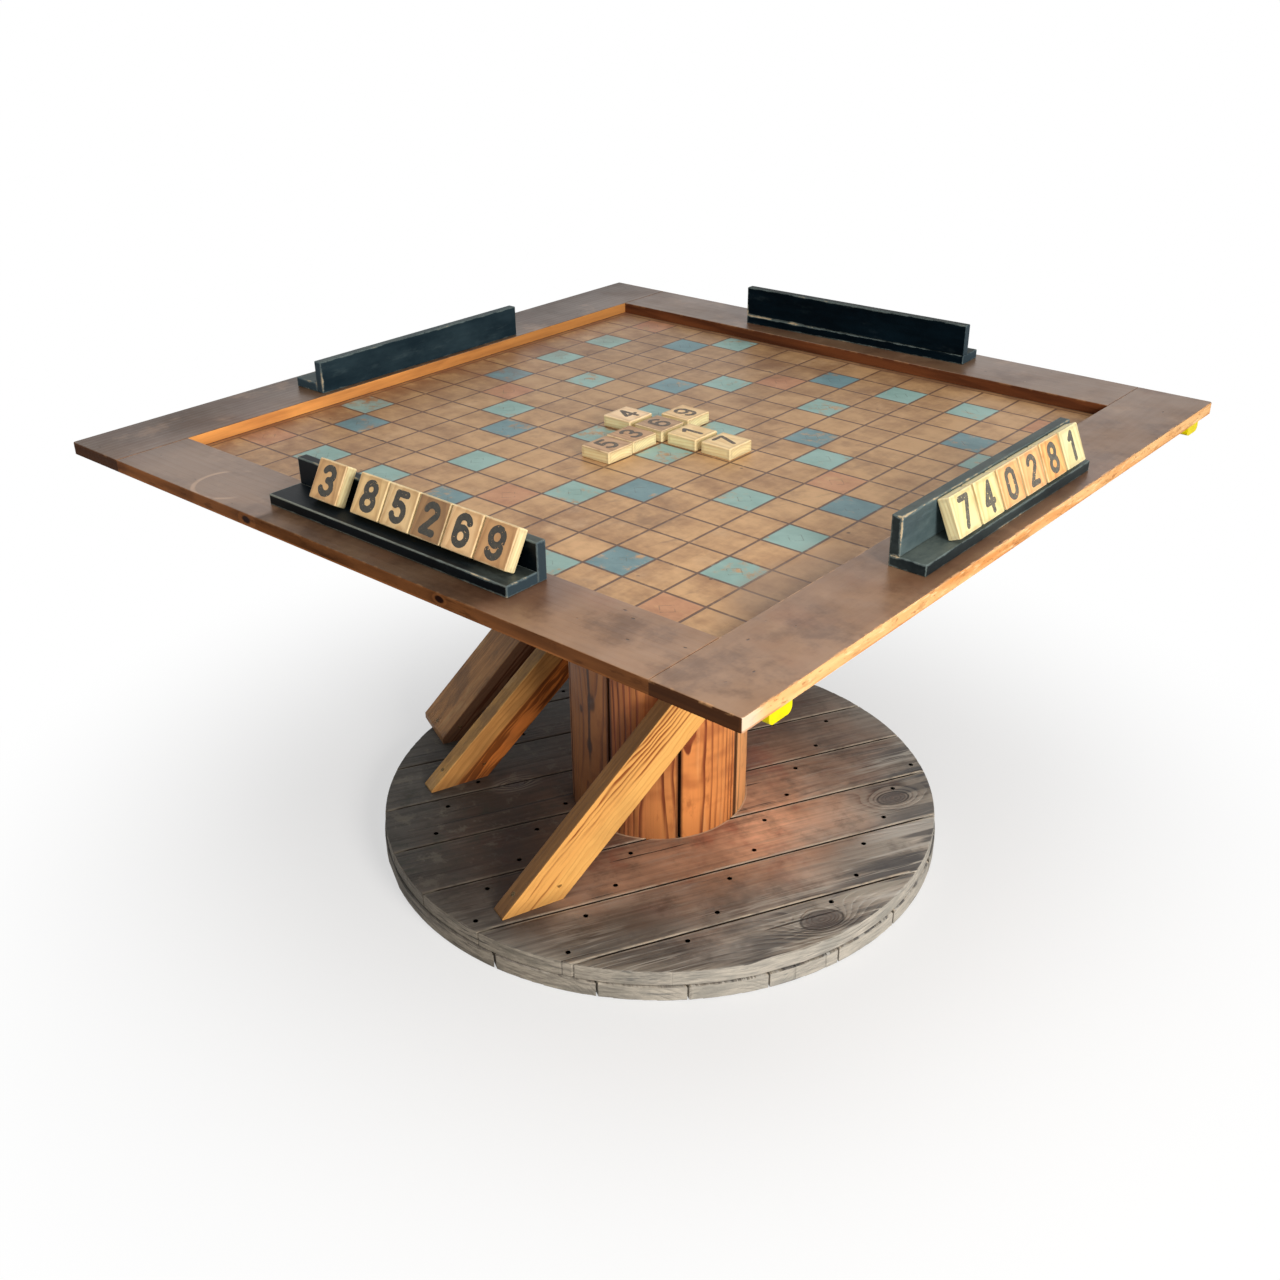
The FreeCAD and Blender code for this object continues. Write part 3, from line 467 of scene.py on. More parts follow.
def reel_planks(name, angle, seam_shift, top):
    """Weathered planks; u runs along their grain, and each plank has its own shade."""
    sh = Shader(name)
    in_sight = name == "lower_top_planks"
    u, v = sh.grain_axes(angle)
    w = sh.z - top
    strip = (v - seam_shift) / PLANK_PITCH
    plank, local = strip.floor(), strip.fract() - 0.5
    middle = local * PLANK_PITCH
    own = sh.random(plank + 0.5, 3, 7)
    own_2 = sh.random(plank + 0.5, 11, 5)

    # rings and knots
    slow = sh.noise(u * 1.3, middle * 6 + own * 40, w * 4, 1)
    waver = sh.noise(u * 5, middle * 26, own * 30 + w * 26)
    radius = hypot(middle - (own - 0.5) * 0.08, w + 0.05 + own_2 * 0.05)
    radius = radius + u * 0.03 * (own_2 - 0.4) + slow * 0.07 + waver * 0.005
    push, heart, beside = knot_field(u, v, PLANK_KNOTS if in_sight else ())
    ring = ((radius + push) / RING_SPACING).fract()
    shown = sh.noise(u * 2, middle * 20, own * 9).ramp(0.42, 0.62, 0.15, 0.9)
    late = ring.ramp(0.3, 0.85) * ring.ramp(1, 0.88) * (shown + beside)
    streaks = fibres(sh, u, v, w, 130, 3.5)
    cloud = sh.noise(sh.x * 4.5, sh.y * 4.5, own * 8, 4, 0.6)
    blotch = sh.flat(9, 4, 4, 0.65, 3)

    # brown in the middle, grey where rain and light reach, and with painted light lightest on the right, round
    # a painted pool of light near (0.35, 0.06)
    out = hypot(sh.x, sh.y)
    reach = (out - 0.2) / 0.3 + (cloud - 0.5) * 1.3 + sh.x * 0.9 + sh.x.ramp(0, -0.3, 0, 0.7)
    exposed = reach.ramp(0.25, 1.15)
    sh.colour = sh.blend(late * 0.16 + streaks * 0.9 + blotch * 1.1 - 0.7, (168, 128, 102), (76, 56, 47))
    sh.layer(blotch.ramp(0.5, 0.68) * (1 - exposed) * 0.45, (150, 82, 62))
    raised = sh.noise(u * 2.4, v * 95, w * 60 + own * 5, 4, 0.62)
    grain = late * 0.3 + streaks * 0.7 + raised * 1.5 + blotch * 0.5 - 1.15
    sh.layer(exposed, sh.blend(grain, (170, 163, 153), (58, 53, 50)))
    painted_light = (sh.x * 1.1 + sh.y * 0.1 + (cloud - 0.5) * 0.3).ramp(-0.25, 0.5)
    glow = (sh.far(0.35, 0.06) + (blotch - 0.5) * 0.12).ramp(0.25, 0.07)
    sh.shade((own * 0.25 + 0.85) * (painted_light * 1.05 + 0.2 + glow * 0.8))

    # black stains, slate near the right rim, pale raised streaks brightest under the painted light, and soft
    # spots of painted light and shade
    soot = sh.flat(3.6, 2, 5, 0.65, 7).ramp(0.46, 0.62)
    sh.layer(soot * 0.5 * (1 - glow * 0.7), (54, 47, 42))
    grime = sh.flat(15, 9, 5, 0.7).ramp(0.5, 0.68)
    sh.layer(grime * sh.x.ramp(-0.1, 0.1, 0.6, 0.35), (50, 44, 38))
    # dark greenish and pale mottling on the left
    left_mottle = sh.flat(24, 27, 5, 0.7)
    leftward = sh.x.ramp(0.05, -0.15)
    sh.layer(left_mottle.ramp(0.52, 0.66) * leftward * 0.55, (44, 46, 38))
    sh.layer(left_mottle.ramp(0.46, 0.36) * leftward * 0.3, (128, 122, 108))
    if in_sight:
        def spot(x, y, radius):
            return (sh.far(x, y) + (blotch - 0.5) * 0.1).ramp(radius, radius * 0.35)

        # painted light and shade: soft lighter and darker spots on the planks in sight
        painted_light_inner = out.ramp(0.3, 0.18) * sh.x.ramp(-0.02, 0.1) + spot(0.096, -0.29, 0.1) * 0.8
        painted_shade_near, bright, painted_shade_right = spot(0.225, -0.345, 0.14), spot(0.42, -0.2, 0.14), spot(0.39, 0.07, 0.12)
        sh.shade((painted_light_inner * 0.9 + 1) * (1 - painted_shade_near * 0.5) * (bright * 0.5 + 1) * (1 - painted_shade_right * 0.35))
        sh.shade((spot(0, -0.4, 0.14) * -0.35 + 1) * (spot(0.325, -0.295, 0.09) * 0.4 + 1))
    nearest = (sh.x * 0.65 - sh.y * 0.76).ramp(0.24, 0.38) * sh.x.ramp(0.1, 0.19, 0.25, 1)
    near_rim = out.ramp(0.435, 0.468) * nearest
    brushed = sh.noise(u * 7, v * 150, 23, 4, 0.65).ramp(0.35, 0.62)
    sh.layer(near_rim * 0.6, sh.mix(brushed, (96, 84, 74), (182, 172, 156)))
    dried = sh.noise(u * 9, v * 60, 31, 5, 0.7).ramp(0.54, 0.66)
    sh.layer(dried * 0.35 * (painted_light * 0.8 + 0.2), (176, 164, 148))
    rimward = out.ramp(0.34, 0.42) * sh.x.ramp(0.12, 0.32) * (sh.x * 0.76 + sh.y * 0.65).ramp(0, 0.22, 0.3, 1)
    slate = sh.noise(u * 3, v * 24, 8, 4, 0.6).ramp(0.45, 0.55) * rimward
    sh.layer(slate * 0.75, (70, 72, 76))
    crest = (sh.noise(u * 2.2, v * 48, own * 9 + 2, 3, 0.55) - 0.5).abs().ramp(0.024, 0.004)
    where = sh.noise(u * 5, v * 9, 17, 3).ramp(0.44, 0.6)
    sh.layer(crest * where * (exposed * 0.35 + 0.1 + rimward * 0.4) * painted_light, (212, 206, 194))
    sh.layer(sh.noise(u * 1.6, v * 44, 5).ramp(0.57, 0.64) * rimward * 0.75, (202, 198, 190))
    if in_sight:
        sh.layer(beside * (1 - heart) * (1 - late) * 0.4, (150, 142, 130))
        sh.layer(heart * 0.85, sh.mix(grime, (98, 90, 86), (52, 46, 46)))
        sh.layer(heart.ramp(0, 0.3) * heart.ramp(0.75, 0.3) * 0.75, (38, 33, 31))
        # a pale splinter beside a seam on the right
        end = (u - 0.197) / 0.068
        half = 0.0085 - end * end * 0.0085
        sh.stain((v + 0.3836).abs() - half + (streaks - 0.5) * 0.004, 0.001, -0.001, 0.85, (176, 170, 158))

    # long checks
    check = sh.noise(u * 2.2, v * 70, own * 12, 3, 0.6).ramp(0.34, 0.29)
    sh.layer(check * 0.75, (30, 26, 24))

    # pale rubbed arrises along the seams, brighter as painted highlight where the painted light falls, and the
    # line where the drum stands
    to_seam = (0.5 - local.abs()) * PLANK_PITCH - 0.0015
    patchy = sh.noise(u * 9, plank * 3, 1, 4, 0.65)
    arris = (to_seam + (patchy - 0.5) * 0.006).ramp(0.0052, 0.0018) * patchy.ramp(0.4, 0.56)
    sh.layer(arris * (painted_light * 0.9 + 0.12) * (own_2 * 0.9 + 0.45), (204, 190, 170))
    if in_sight:
        groove = (out - (DRUM_RADIUS + 0.0016)).abs().ramp(0.0022, 0.0008) * sh.x.ramp(0, 0.05)
        sh.layer(groove * patchy.ramp(0.3, 0.5) * 0.6, (222, 190, 156))

    # sawn rim and sides
    flow = sh.noise(sh.x * 22, sh.y * 22, sh.z * 170, 5, 0.75)
    plan, sh.colour = sh.colour, sh.blend(flow * 2.4 - 0.8, (204, 190, 170), (104, 94, 82))
    sh.stain(sh.noise(sh.x * 9 + 2, sh.y * 9, sh.z * 30, 5, 0.65), 0.44, 0.62, 0.55, (82, 76, 62))
    sh.stain(sh.noise(sh.x * 12, sh.y * 12, sh.z * 150 + 5, 4, 0.65), 0.38, 0.34, 0.8, (42, 36, 31))
    sh.stain(sh.x * 1.4, 0, 0.6, 0.5, (176, 174, 168))
    # painted light: the rim lighter towards the right
    sh.shade(painted_light * 0.8 + 0.42)
    sawn = sh.mix(out.ramp(FLANGE_RADIUS - 0.03, FLANGE_RADIUS - 0.012), (46, 38, 32), sh.colour)
    upright = sh.facing[2].abs().ramp(0.75, 0.35)
    sh.colour = sh.mix(upright, plan, sawn)
    height = (late * -0.5 + streaks * 0.8) * (exposed * 0.65 + 0.35) - check * 1.6 + upright * flow * 1.2
    return sh.finish(streaks * 0.2 + 0.62, height, 0.0012)


def drum_staves():
    """Heavy-grained staves, each with its own shade, with the grain upright."""
    sh = Shader("drum_staves")
    turn = sh.math("ARCTAN2", sh.y, sh.x)
    strip = (turn - STAVE_SEAM) / STAVE_TURN + STAVES
    stave, local = strip.floor(), strip.fract() - 0.5
    v = local * STAVE_WIDTH
    out = hypot(sh.x, sh.y)
    w = out - DRUM_RADIUS
    own = sh.random(stave + 0.5, 2, 9)
    own_2 = sh.random(stave + 0.5, 6, 1)
    slow = sh.noise(sh.z * 1.6, v * 5 + own * 30, w * 5, 1)
    waver = sh.noise(sh.z * 7, v * 34, own * 20)
    push, heart, _ = knot_field(sh.z, turn, DRUM_KNOTS)
    radius = hypot(v - (own_2 - 0.5) * 0.1, w + 0.045 + own * 0.05)
    radius = radius + sh.z * (own_2 - 0.3) * 0.05 + slow * 0.06 + waver * 0.006
    ring = ((radius + push) / RING_SPACING).fract()
    late = ring.ramp(0.45, 0.92) * ring.ramp(1, 0.93)
    streaks = fibres(sh, sh.z, v, w, 170, 6)
    figure = sh.noise(sh.z * 24, v * 13, own * 9)
    shown = sh.noise(sh.z * 3, v * 26, own * 14).ramp(0.35, 0.62, 0.25, 1)
    light = sh.mix(own, (242, 158, 88), (220, 134, 74))
    sh.colour = sh.blend(late * shown + streaks * 0.75 - 0.3, light, (122, 56, 26))
    sh.stain(figure, 0.46, 0.72, 0.5, (158, 80, 42))
    sh.stain(sh.noise(sh.z * 5, v * 60, own * 5 + 3, 3), 0.56, 0.72, 0.4, (250, 182, 118))
    sh.stain(sh.noise(sh.z * 14, v * 30, own * 21 + 2, 4, 0.65), 0.56, 0.7, 0.45, (138, 66, 34))
    sh.layer(heart * 0.9, (58, 28, 18))
    # some staves darker at random, and all darker towards the bottom
    random_share = sh.noise(stave * 2, sh.z * 2, 4).ramp(0.2, 0.8, 0.5, 1)
    darker_staves_and_foot = (own_2.ramp(0.35, 0.9) * 0.6 + sh.z.ramp(0.11, 0.05) * 0.6) * random_share
    sh.layer(darker_staves_and_foot * 0.6, (92, 58, 38))

    # the middle stave ruddy and darkened towards the left with painted shade, and the one left of it in its own
    # dull colour deepened by painted shade, with its split and knots
    left_seam, right_seam = radians(-82.7), radians(-37.7)
    middle = turn.ramp(right_seam, radians(-80), 0.12, 1) * turn.above(left_seam) * turn.below(right_seam)
    fine = sh.noise(sh.z * 4, v * 150, own * 11 + 4, 3, 0.6)
    sh.layer(middle * 0.7, sh.mix(fine.ramp(0.35, 0.62), (150, 84, 56), (64, 28, 18)))
    left = turn.below(left_seam) * turn.ramp(-3.2, -3.1)
    sh.layer(left * 0.74, sh.mix(figure, (118, 78, 50), (70, 44, 28)))
    from_split = turn - radians(-99.4) + (sh.noise(sh.z * 9, 3, 8, 3) - 0.5) * 0.11
    open_split = sh.z.ramp(0.14, 0.2) * sh.noise(sh.z * 16, 6, 1).ramp(0.3, 0.46, 0.35, 1)
    sh.layer(from_split.abs().ramp(0.03, 0.012) * open_split * 0.9, (40, 20, 13))
    for knot_turn, knot_z, wide in ((-97, 0.283, 0.012), (-99.5, 0.2, 0.01), (-108, 0.26, 0.006)):
        knot = hypot((turn - radians(knot_turn)) * DRUM_RADIUS, (sh.z - knot_z) * 0.55)
        sh.stain(knot + (fine - 0.5) * 0.006, wide, wide * 0.45, 0.85, (44, 23, 15))
    sh.layer(turn.above(STAVE_SEAM) * turn.ramp(0.6, 0.5) * 0.3, (255, 204, 146))
    sh.stain((0.5 - local.abs()) * STAVE_WIDTH, 0.0075, 0.003, 0.75, (52, 26, 14))
    sh.stain(out, DRUM_RADIUS - 0.001, DRUM_RADIUS - 0.003, 0.75, (70, 46, 32))
    return sh.finish(streaks * 0.16 + 0.5, streaks * 0.5 - late * 0.7, 0.0009)


# Each brace's heading and rise in degrees, its colours (light, dark), those of its upper face, which differ
# from the flanks' as painted light and shade, its sapwood (start, stop, light, dark), and how aged it is, which
# also brings a painted shade at its head
BRACES = {
    "front_brace": (
        70, 44, ((246, 180, 100), (150, 80, 34)), ((158, 114, 68), (100, 70, 42)),
        (0.52, 0.38, (250, 190, 108), (226, 156, 78)), 0),
    "middle_brace": (
        70, 42.5, ((204, 118, 54), (96, 46, 18)), ((208, 160, 92), (124, 88, 50)),
        (0.46, 0.6, (190, 142, 82), (134, 88, 46)), 0.5),
    "left_brace": (
        66, 45.7, ((116, 84, 62), (68, 48, 38)), ((204, 150, 98), (112, 78, 50)),
        (0, -1, (116, 84, 62), (68, 48, 38)), 1),
}


def brace_wood(node, seed):
    """Planed pine with a strong figure, its upper face and flanks in painted light and shade; u runs up the
    brace.
    """
    heading, rise, body, face, (start, stop, *sapwood), age_and_head_shade = BRACES[node]
    sh = Shader(f"{node}_pine")
    heading, rise = radians(heading), radians(rise)
    axis = (cos(heading) * cos(rise), sin(heading) * cos(rise), sin(rise))
    side = (sin(heading), -cos(heading), 0)
    upper = Vector(side).cross(Vector(axis))
    u, v, w = sh.along(axis), sh.along(side), sh.along(upper)
    depths = [upper.dot(point.co) for point in NODES[node].data.vertices]
    share = (w - min(depths)) / (max(depths) - min(depths))
    sway = (sh.noise(u * 5.5, w * 16 + seed, v * 8, 3, 0.55) - 0.5) * 0.035
    rings, _ = growth(sh, u, w + sway, v, 0.0065, (0.02 + seed * 0.01, 0.05), 0.05, 0.03, seed)
    streaks = fibres(sh, u, w + sway * 0.4, v, 190, 4, seed)
    broad = sh.noise(u * 2.6, w * 38 + seed, v * 38, 3, 0.6)
    sap = (share + (broad - 0.5) * 0.35).ramp(start, stop)
    figure = broad.ramp(0.46, 0.66) * (1 - sap * 0.75)
    tone = (rings * (figure * 0.75 + 0.12) + streaks * 0.55 + figure * 0.2 - 0.25).ramp(0, 1)
    sh.colour = sh.mix(tone * (1 - age_and_head_shade * 0.3), *body)
    sh.layer(sap * 0.85, sh.blend(streaks * 0.9 + rings * 0.15 - 0.2, *sapwood))
    resin = sh.noise(u * 3, w * 90 + seed, v * 90, 3, 0.65).ramp(0.6, 0.68)
    sh.layer(resin * figure * 0.75, sh.tone(body[1], 0.6))
    grime = sh.noise(u * 5, v * 9, w * 9 + seed, 4, 0.6)
    sh.layer(grime.ramp(0.48, 0.75) * 0.35 * (1 + age_and_head_shade), (112, 74, 44))
    if age_and_head_shade:
        vein = sh.noise(u * 3 + 5, (w + sway) * 75, 4 + seed, 4, 0.65).ramp(0.47, 0.55)
        inward = share + (broad - 0.5) * 0.3
        vein = (vein * inward.ramp(0.6, 0.46) + (inward - 0.5).abs().ramp(0.05, 0.02)).least(1)
        sh.layer(vein * 0.75, (78, 36, 14))

    flanks, sh.colour = sh.colour, sh.blend(streaks * 0.8 + grime - 0.4, *face)
    if age_and_head_shade:
        dirty = sh.noise(u * 7, v * 16 + seed, 2, 5, 0.7)
        sh.stain(dirty, 0.47, 0.62, 0.6, (92, 68, 48))
        sh.stain(dirty, 0.46, 0.36, 0.35, (214, 178, 128))
    toward = sh.facing[0] * upper[0] + sh.facing[1] * upper[1] + sh.facing[2] * upper[2]
    sh.colour = sh.mix(toward.ramp(0.45, 0.8), flanks, sh.colour)
    # painted shade within 3 cm of both flanges, where the brace meets them
    ends_shade = (sh.z - FLANGE_TOP).ramp(0.03, 0) + (UPPER_FLANGE - sh.z).ramp(0.03, 0)
    sh.layer(ends_shade * 0.35, (70, 46, 30))
    # painted shade: the heads of the middle and left braces darker, under the top
    if age_and_head_shade:
        sh.shade((sh.z + (grime - 0.5) * 0.2).ramp(0.13, 0.42, 1.15, 0.5))
    return sh.finish(streaks * 0.14 + 0.5, streaks * 0.5 - rings * 0.4, 0.0007, 0.25)


# --- Racks, caps and metal ---

# Each rack's turn in degrees, its paint (thick, thin), lighter or darker from rack to rack as painted light
# and shade, how much dust films it, partly as painted light, and its gloss
RACKS = {
    "front": (0, ((1, 5, 8), (10, 18, 23)), 0.12, 0.12),
    "right": (90, ((34, 48, 54), (88, 102, 102)), 0.4, 0.15),
    "rear": (2, ((0, 5, 10), (8, 24, 33)), 0.1, 0.04),
    "left": (90, ((22, 38, 47), (48, 66, 74)), 0.2, 0.06),
}


def rack_strip(side, part):
    """Brushed black paint, rubbed through to grey and to wood along the arrises."""
    turn, paints, film, gloss = RACKS[side]
    node = f"{side}_rack_{part}"
    sh = Shader(f"{node}_paint")
    turn = radians(turn)
    u, v = sh.grain_axes(turn)
    brush = sh.noise(u * 5, v * 90, sh.z * 90, 3, 0.6)
    cloud = sh.noise(u * 9, v * 16, sh.z * 20 + len(node), 5, 0.62)
    sh.colour = sh.blend(brush * 0.35 + cloud * 1.5 - 0.55, *paints)
    dust = sh.noise(u * 11, v * 26, sh.z * 40, 5, 0.7)
    sh.stain(dust, 0.54, 0.74, film, (92, 108, 112))
    # dust on the upper faces, partly a painted sheen; on the front rack only at its outer end, where it is a
    # painted highlight
    dust_and_sheen = sh.facing[2].ramp(0.7, 0.95) * dust.ramp(0.38, 0.62, 0.4, 1)
    if side == "front":
        dust_and_sheen = dust_and_sheen * sh.x.ramp(0.17, 0.215) * 1.5
    sh.layer((dust_and_sheen * film * 1.6).least(1), (122, 132, 124))
    # painted light and shade: the right rack's faces lighter or darker by the way they face
    if side == "right":
        front_tone, top_tone = (1.3, 0.5) if part == "back" else (0.36, 0.75)
        sh.shade(sh.facing[0].ramp(0.5, 0.9, 1, front_tone) * sh.facing[2].ramp(0.5, 0.9, 1, top_tone)
                 * sh.facing[1].ramp(-0.5, -0.9, 1, 0.4))

    x, y, z = np.array([p.co for p in NODES[node].data.vertices]).T
    spans = [(float(a.min()), float(a.max())) for a in (*turned(x, y, turn), z)]
    offsets, edge = box_edges((u, v, sh.z), *zip(*spans))
    chip = sh.noise(u * 45, v * 120, sh.z * 120, 4, 0.65)
    rub = sh.noise(u * 6, v * 20, sh.z * 20)
    worn = (edge + (chip - 0.5) * 0.006 + (rub - 0.5) * 0.007).ramp(0.0022, 0.0006)
    sh.layer(worn * 0.6, (112, 124, 122))
    sh.layer((edge + (chip - 0.5) * 0.009 + (rub - 0.5) * 0.009).ramp(-0.0002, -0.0014), (186, 168, 138))
    # a pale line along the front rack's arrises, part wear and part painted highlight, stronger towards the
    # left
    if side == "front":
        line = edge.ramp(0.0024, 0.0012) * rub.ramp(0.4, 0.56) * sh.x.ramp(0.2, -0.1, 0.35, 1)
        sh.layer(line * 0.6, (150, 152, 140))
    sh.stain(offsets[0], 0.0015, 0.0005, 0 if side == "right" else 0.5, (70, 88, 98))
    return sh.finish(cloud * 0.2 + 0.34 + worn * 0.15, brush * 0.6 + chip * 0.5 - worn * 0.6, gloss=gloss)


def cap_plastic():
    sh = Shader("cap_plastic")
    grain = sh.solid(900)
    sh.colour = sh.mix(sh.solid(40, 4).ramp(0.45, 0.8) * 0.5, (232, 214, 0), (208, 174, 0))
    return sh.finish(grain * 0.12 + 0.4, grain, 0.00005, 0.1)


# Colours (light, dark) and roughness of each metal, and the nodes made of it
METALS = {
    "screw_steel": (
        (200, 188, 150), (130, 118, 88), 0.32,
        "brace_screws", "fixed_ring_screws", "turning_ring_screws", "border_screws", "batten_screws"),
    "ring_steel": ((186, 188, 190), (140, 142, 146), 0.34, "tie_rod_washers", "fixed_ring", "turning_ring"),
    "rod_steel": ((170, 170, 172), (112, 112, 114), 0.4, "tie_rods", "tie_rod_nuts"),
    "ball_steel": ((222, 222, 224), (190, 190, 194), 0.1, "turntable_balls"),
    "cage_brass": ((208, 170, 96), (160, 124, 62), 0.34, "ball_cage"),
}


def metal(name, light, dark, rough):
    sh = Shader(name)
    brushed = sh.noise(sh.x * 300, sh.y * 300, sh.z * 900, 3)
    patch = sh.solid(60, 4, 0.65)
    sh.colour = sh.blend(brushed * 0.6 + patch * 0.9 - 0.4, light, dark)
    return sh.finish(patch * 0.2 + rough, brushed, 0.0001, metallic=1)


def nail_iron():
    """Rusted heads, most of them dull and dark, a few rubbed bright."""
    sh = Shader("nail_iron")
    own = sh.random((sh.x * 40).floor(), (sh.y * 40).floor(), 3)
    patch = sh.solid(300, 3, 0.65)
    sh.colour = sh.mix(patch.ramp(0.35, 0.65), (150, 136, 122), (92, 78, 66))
    sh.stain(own, 0.78, 0.92, 0.8, (168, 160, 150))
    return sh.finish(0.6, patch, 0.0002, metallic=0.15)


def batten_wood():
    sh = Shader("batten_wood")
    rings, _ = growth(sh, sh.x, sh.y, sh.z, 0.007, pith=(0.5, 0.6), seed=3)
    streaks = fibres(sh, sh.x, sh.y, sh.z, 180, 5)
    tone = rings * 0.5 + streaks * 0.6 + sh.solid(8, 3) * 0.4 - 0.4
    sh.colour = sh.blend(tone, (190, 150, 104), (140, 102, 66))
    return sh.finish(streaks * 0.2 + 0.55, streaks - rings * 0.5, 0.0004)


# --- Tiles ---

TILE = 0.053
TILE_THICK = 0.018
DIGIT_HEIGHT = 0.027


def leaned(degrees, *facing):
    """Across and up directions of a tile that leans back by so much from upright."""
    lean = radians(degrees)
    upright, facing = Vector((0, 0, 1)), Vector(facing)
    return upright.cross(facing), upright * cos(lean) - facing * sin(lean)


def tile_places():
    """Each tile's lower left back corner in millimetres, and its across and up directions."""
    front, right, flat = leaned(30, 0, -1, 0), leaned(23.5, 1, 0, 0), leaned(90, 1, 0, 0)
    half = TILE / 2 / MM
    centres = ((4.95, -122.5), (3.3, -66.75), (5.5, -4.4), (4.95, 58.5), (-58.5, -2.75), (67.85, -3.3),
               (130.2, -2.2))
    return {
        "front": [((x, -540.75, 730.57), *front) for x in (-122, -41, 14.5, 70, 125.5, 181)],
        "right": [((571.8, y, 730.67), *right) for y in (-147, -88.8, -30.6, 27.6, 85.8, 144)],
        "centre": [((x + half, y - half, 698), *flat) for x, y in centres],
    }


# Each group's ink (light, dark), the scale of its digits and their stroke in millimetres, and each tile's
# digit, face colours (light, dark) and how worn the digit is
TILES = {
    "front": (((84, 76, 62), (34, 36, 34)), (1.3, 1.15), 8.8, (
        ("3", (214, 170, 116), (160, 116, 74), 0.15),
        ("8", (226, 190, 134), (190, 146, 92), 0.2),
        ("5", (226, 192, 140), (186, 142, 92), 0.2),
        ("2", (156, 118, 78), (112, 82, 54), 0.25),
        ("6", (230, 190, 140), (196, 148, 98), 0.2),
        ("9", (196, 150, 102), (158, 114, 72), 0.15))),
    "right": (((132, 124, 106), (64, 62, 58)), (1.2, 1.2), 7.8, (
        ("7", (232, 216, 160), (206, 184, 122), 0.55),
        ("4", (236, 218, 158), (210, 184, 118), 0.45),
        ("0", (238, 184, 124), (208, 142, 86), 0.3),
        ("2", (240, 186, 126), (206, 138, 86), 0.35),
        ("8", (238, 182, 112), (200, 128, 70), 0.3),
        ("1", (232, 220, 168), (204, 186, 128), 0.5))),
    "centre": (((122, 104, 84), (56, 50, 44)), (1.25, 1.08), 6.4, (
        ("5", (190, 152, 116), (150, 112, 80), 0.45),
        ("3", (186, 146, 108), (146, 106, 74), 0.3),
        ("6", (176, 142, 110), (138, 106, 78), 0.35),
        ("9", (228, 194, 146), (200, 160, 112), 0.4),
        ("4", (240, 208, 168), (214, 174, 130), 0.3),
        ("1", (234, 202, 150), (208, 168, 112), 0.3),
        ("7", (236, 206, 156), (212, 174, 120), 0.4))),
}

STROKE_BOX = (15, 29)


def arc(cx, cy, rx, ry, start, end, steps=18):
    angles = [radians(start + (end - start) * n / steps) for n in range(steps + 1)]
    return [(cx + rx * cos(a), cy + ry * sin(a)) for a in angles]


DIGITS = {
    "0": [arc(7.5, 21.5, 7.5, 7.5, 0, 180) + arc(7.5, 7.5, 7.5, 7.5, 180, 360) + [(15, 21.5)]],
    "1": [[(2.2, 23.5), (8.5, 29), (8.5, 0)]],
    "2": [arc(7.5, 21.5, 7.5, 7.5, 165, -25) + [(0.5, 0.5), (15, 0.2)]],
    "3": [arc(7.2, 22, 7, 7, 155, -90) + arc(7.2, 7.5, 7.6, 7.5, 90, -158)],
    "4": [[(11, 0), (11, 29), (0, 9), (15.5, 9)]],
    "5": [[(14, 29), (1.8, 29), (1, 16.2)] + arc(7.2, 9, 7.6, 9, 128, -155)],
    "6": [arc(7.5, 21.5, 7.3, 7.5, 18, 180) + [(0.2, 8.5)] + arc(7.5, 8.5, 7.4, 8.5, 180, 540, 28)],
    "7": [[(0, 29), (15, 29), (5.2, 0)]],
    "8": [arc(7.5, 22, 6.6, 7, 0, 360, 28), arc(7.5, 7.6, 7.6, 7.6, 0, 360, 28)],
    "9": [arc(7.5, 7.5, 7.3, 7.5, 198, 360) + [(14.8, 20.5)] + arc(7.5, 20.5, 7.4, 8.5, 0, 360, 28)],
}


def stroke_distance(points, paths):
    """Distance from each point to the nearest of some paths, in one plane."""
    least = np.full(len(points), 1e9)
    for path in paths:
        for start, end in zip(path, path[1:]):
            start, end = np.array(start), np.array(end)
            run = end - start
            share = np.clip((points - start) @ run / max(run @ run, 1e-9), 0, 1)
            least = np.minimum(least, np.linalg.norm(points - start - share[:, None] * run, axis=1))
    return least


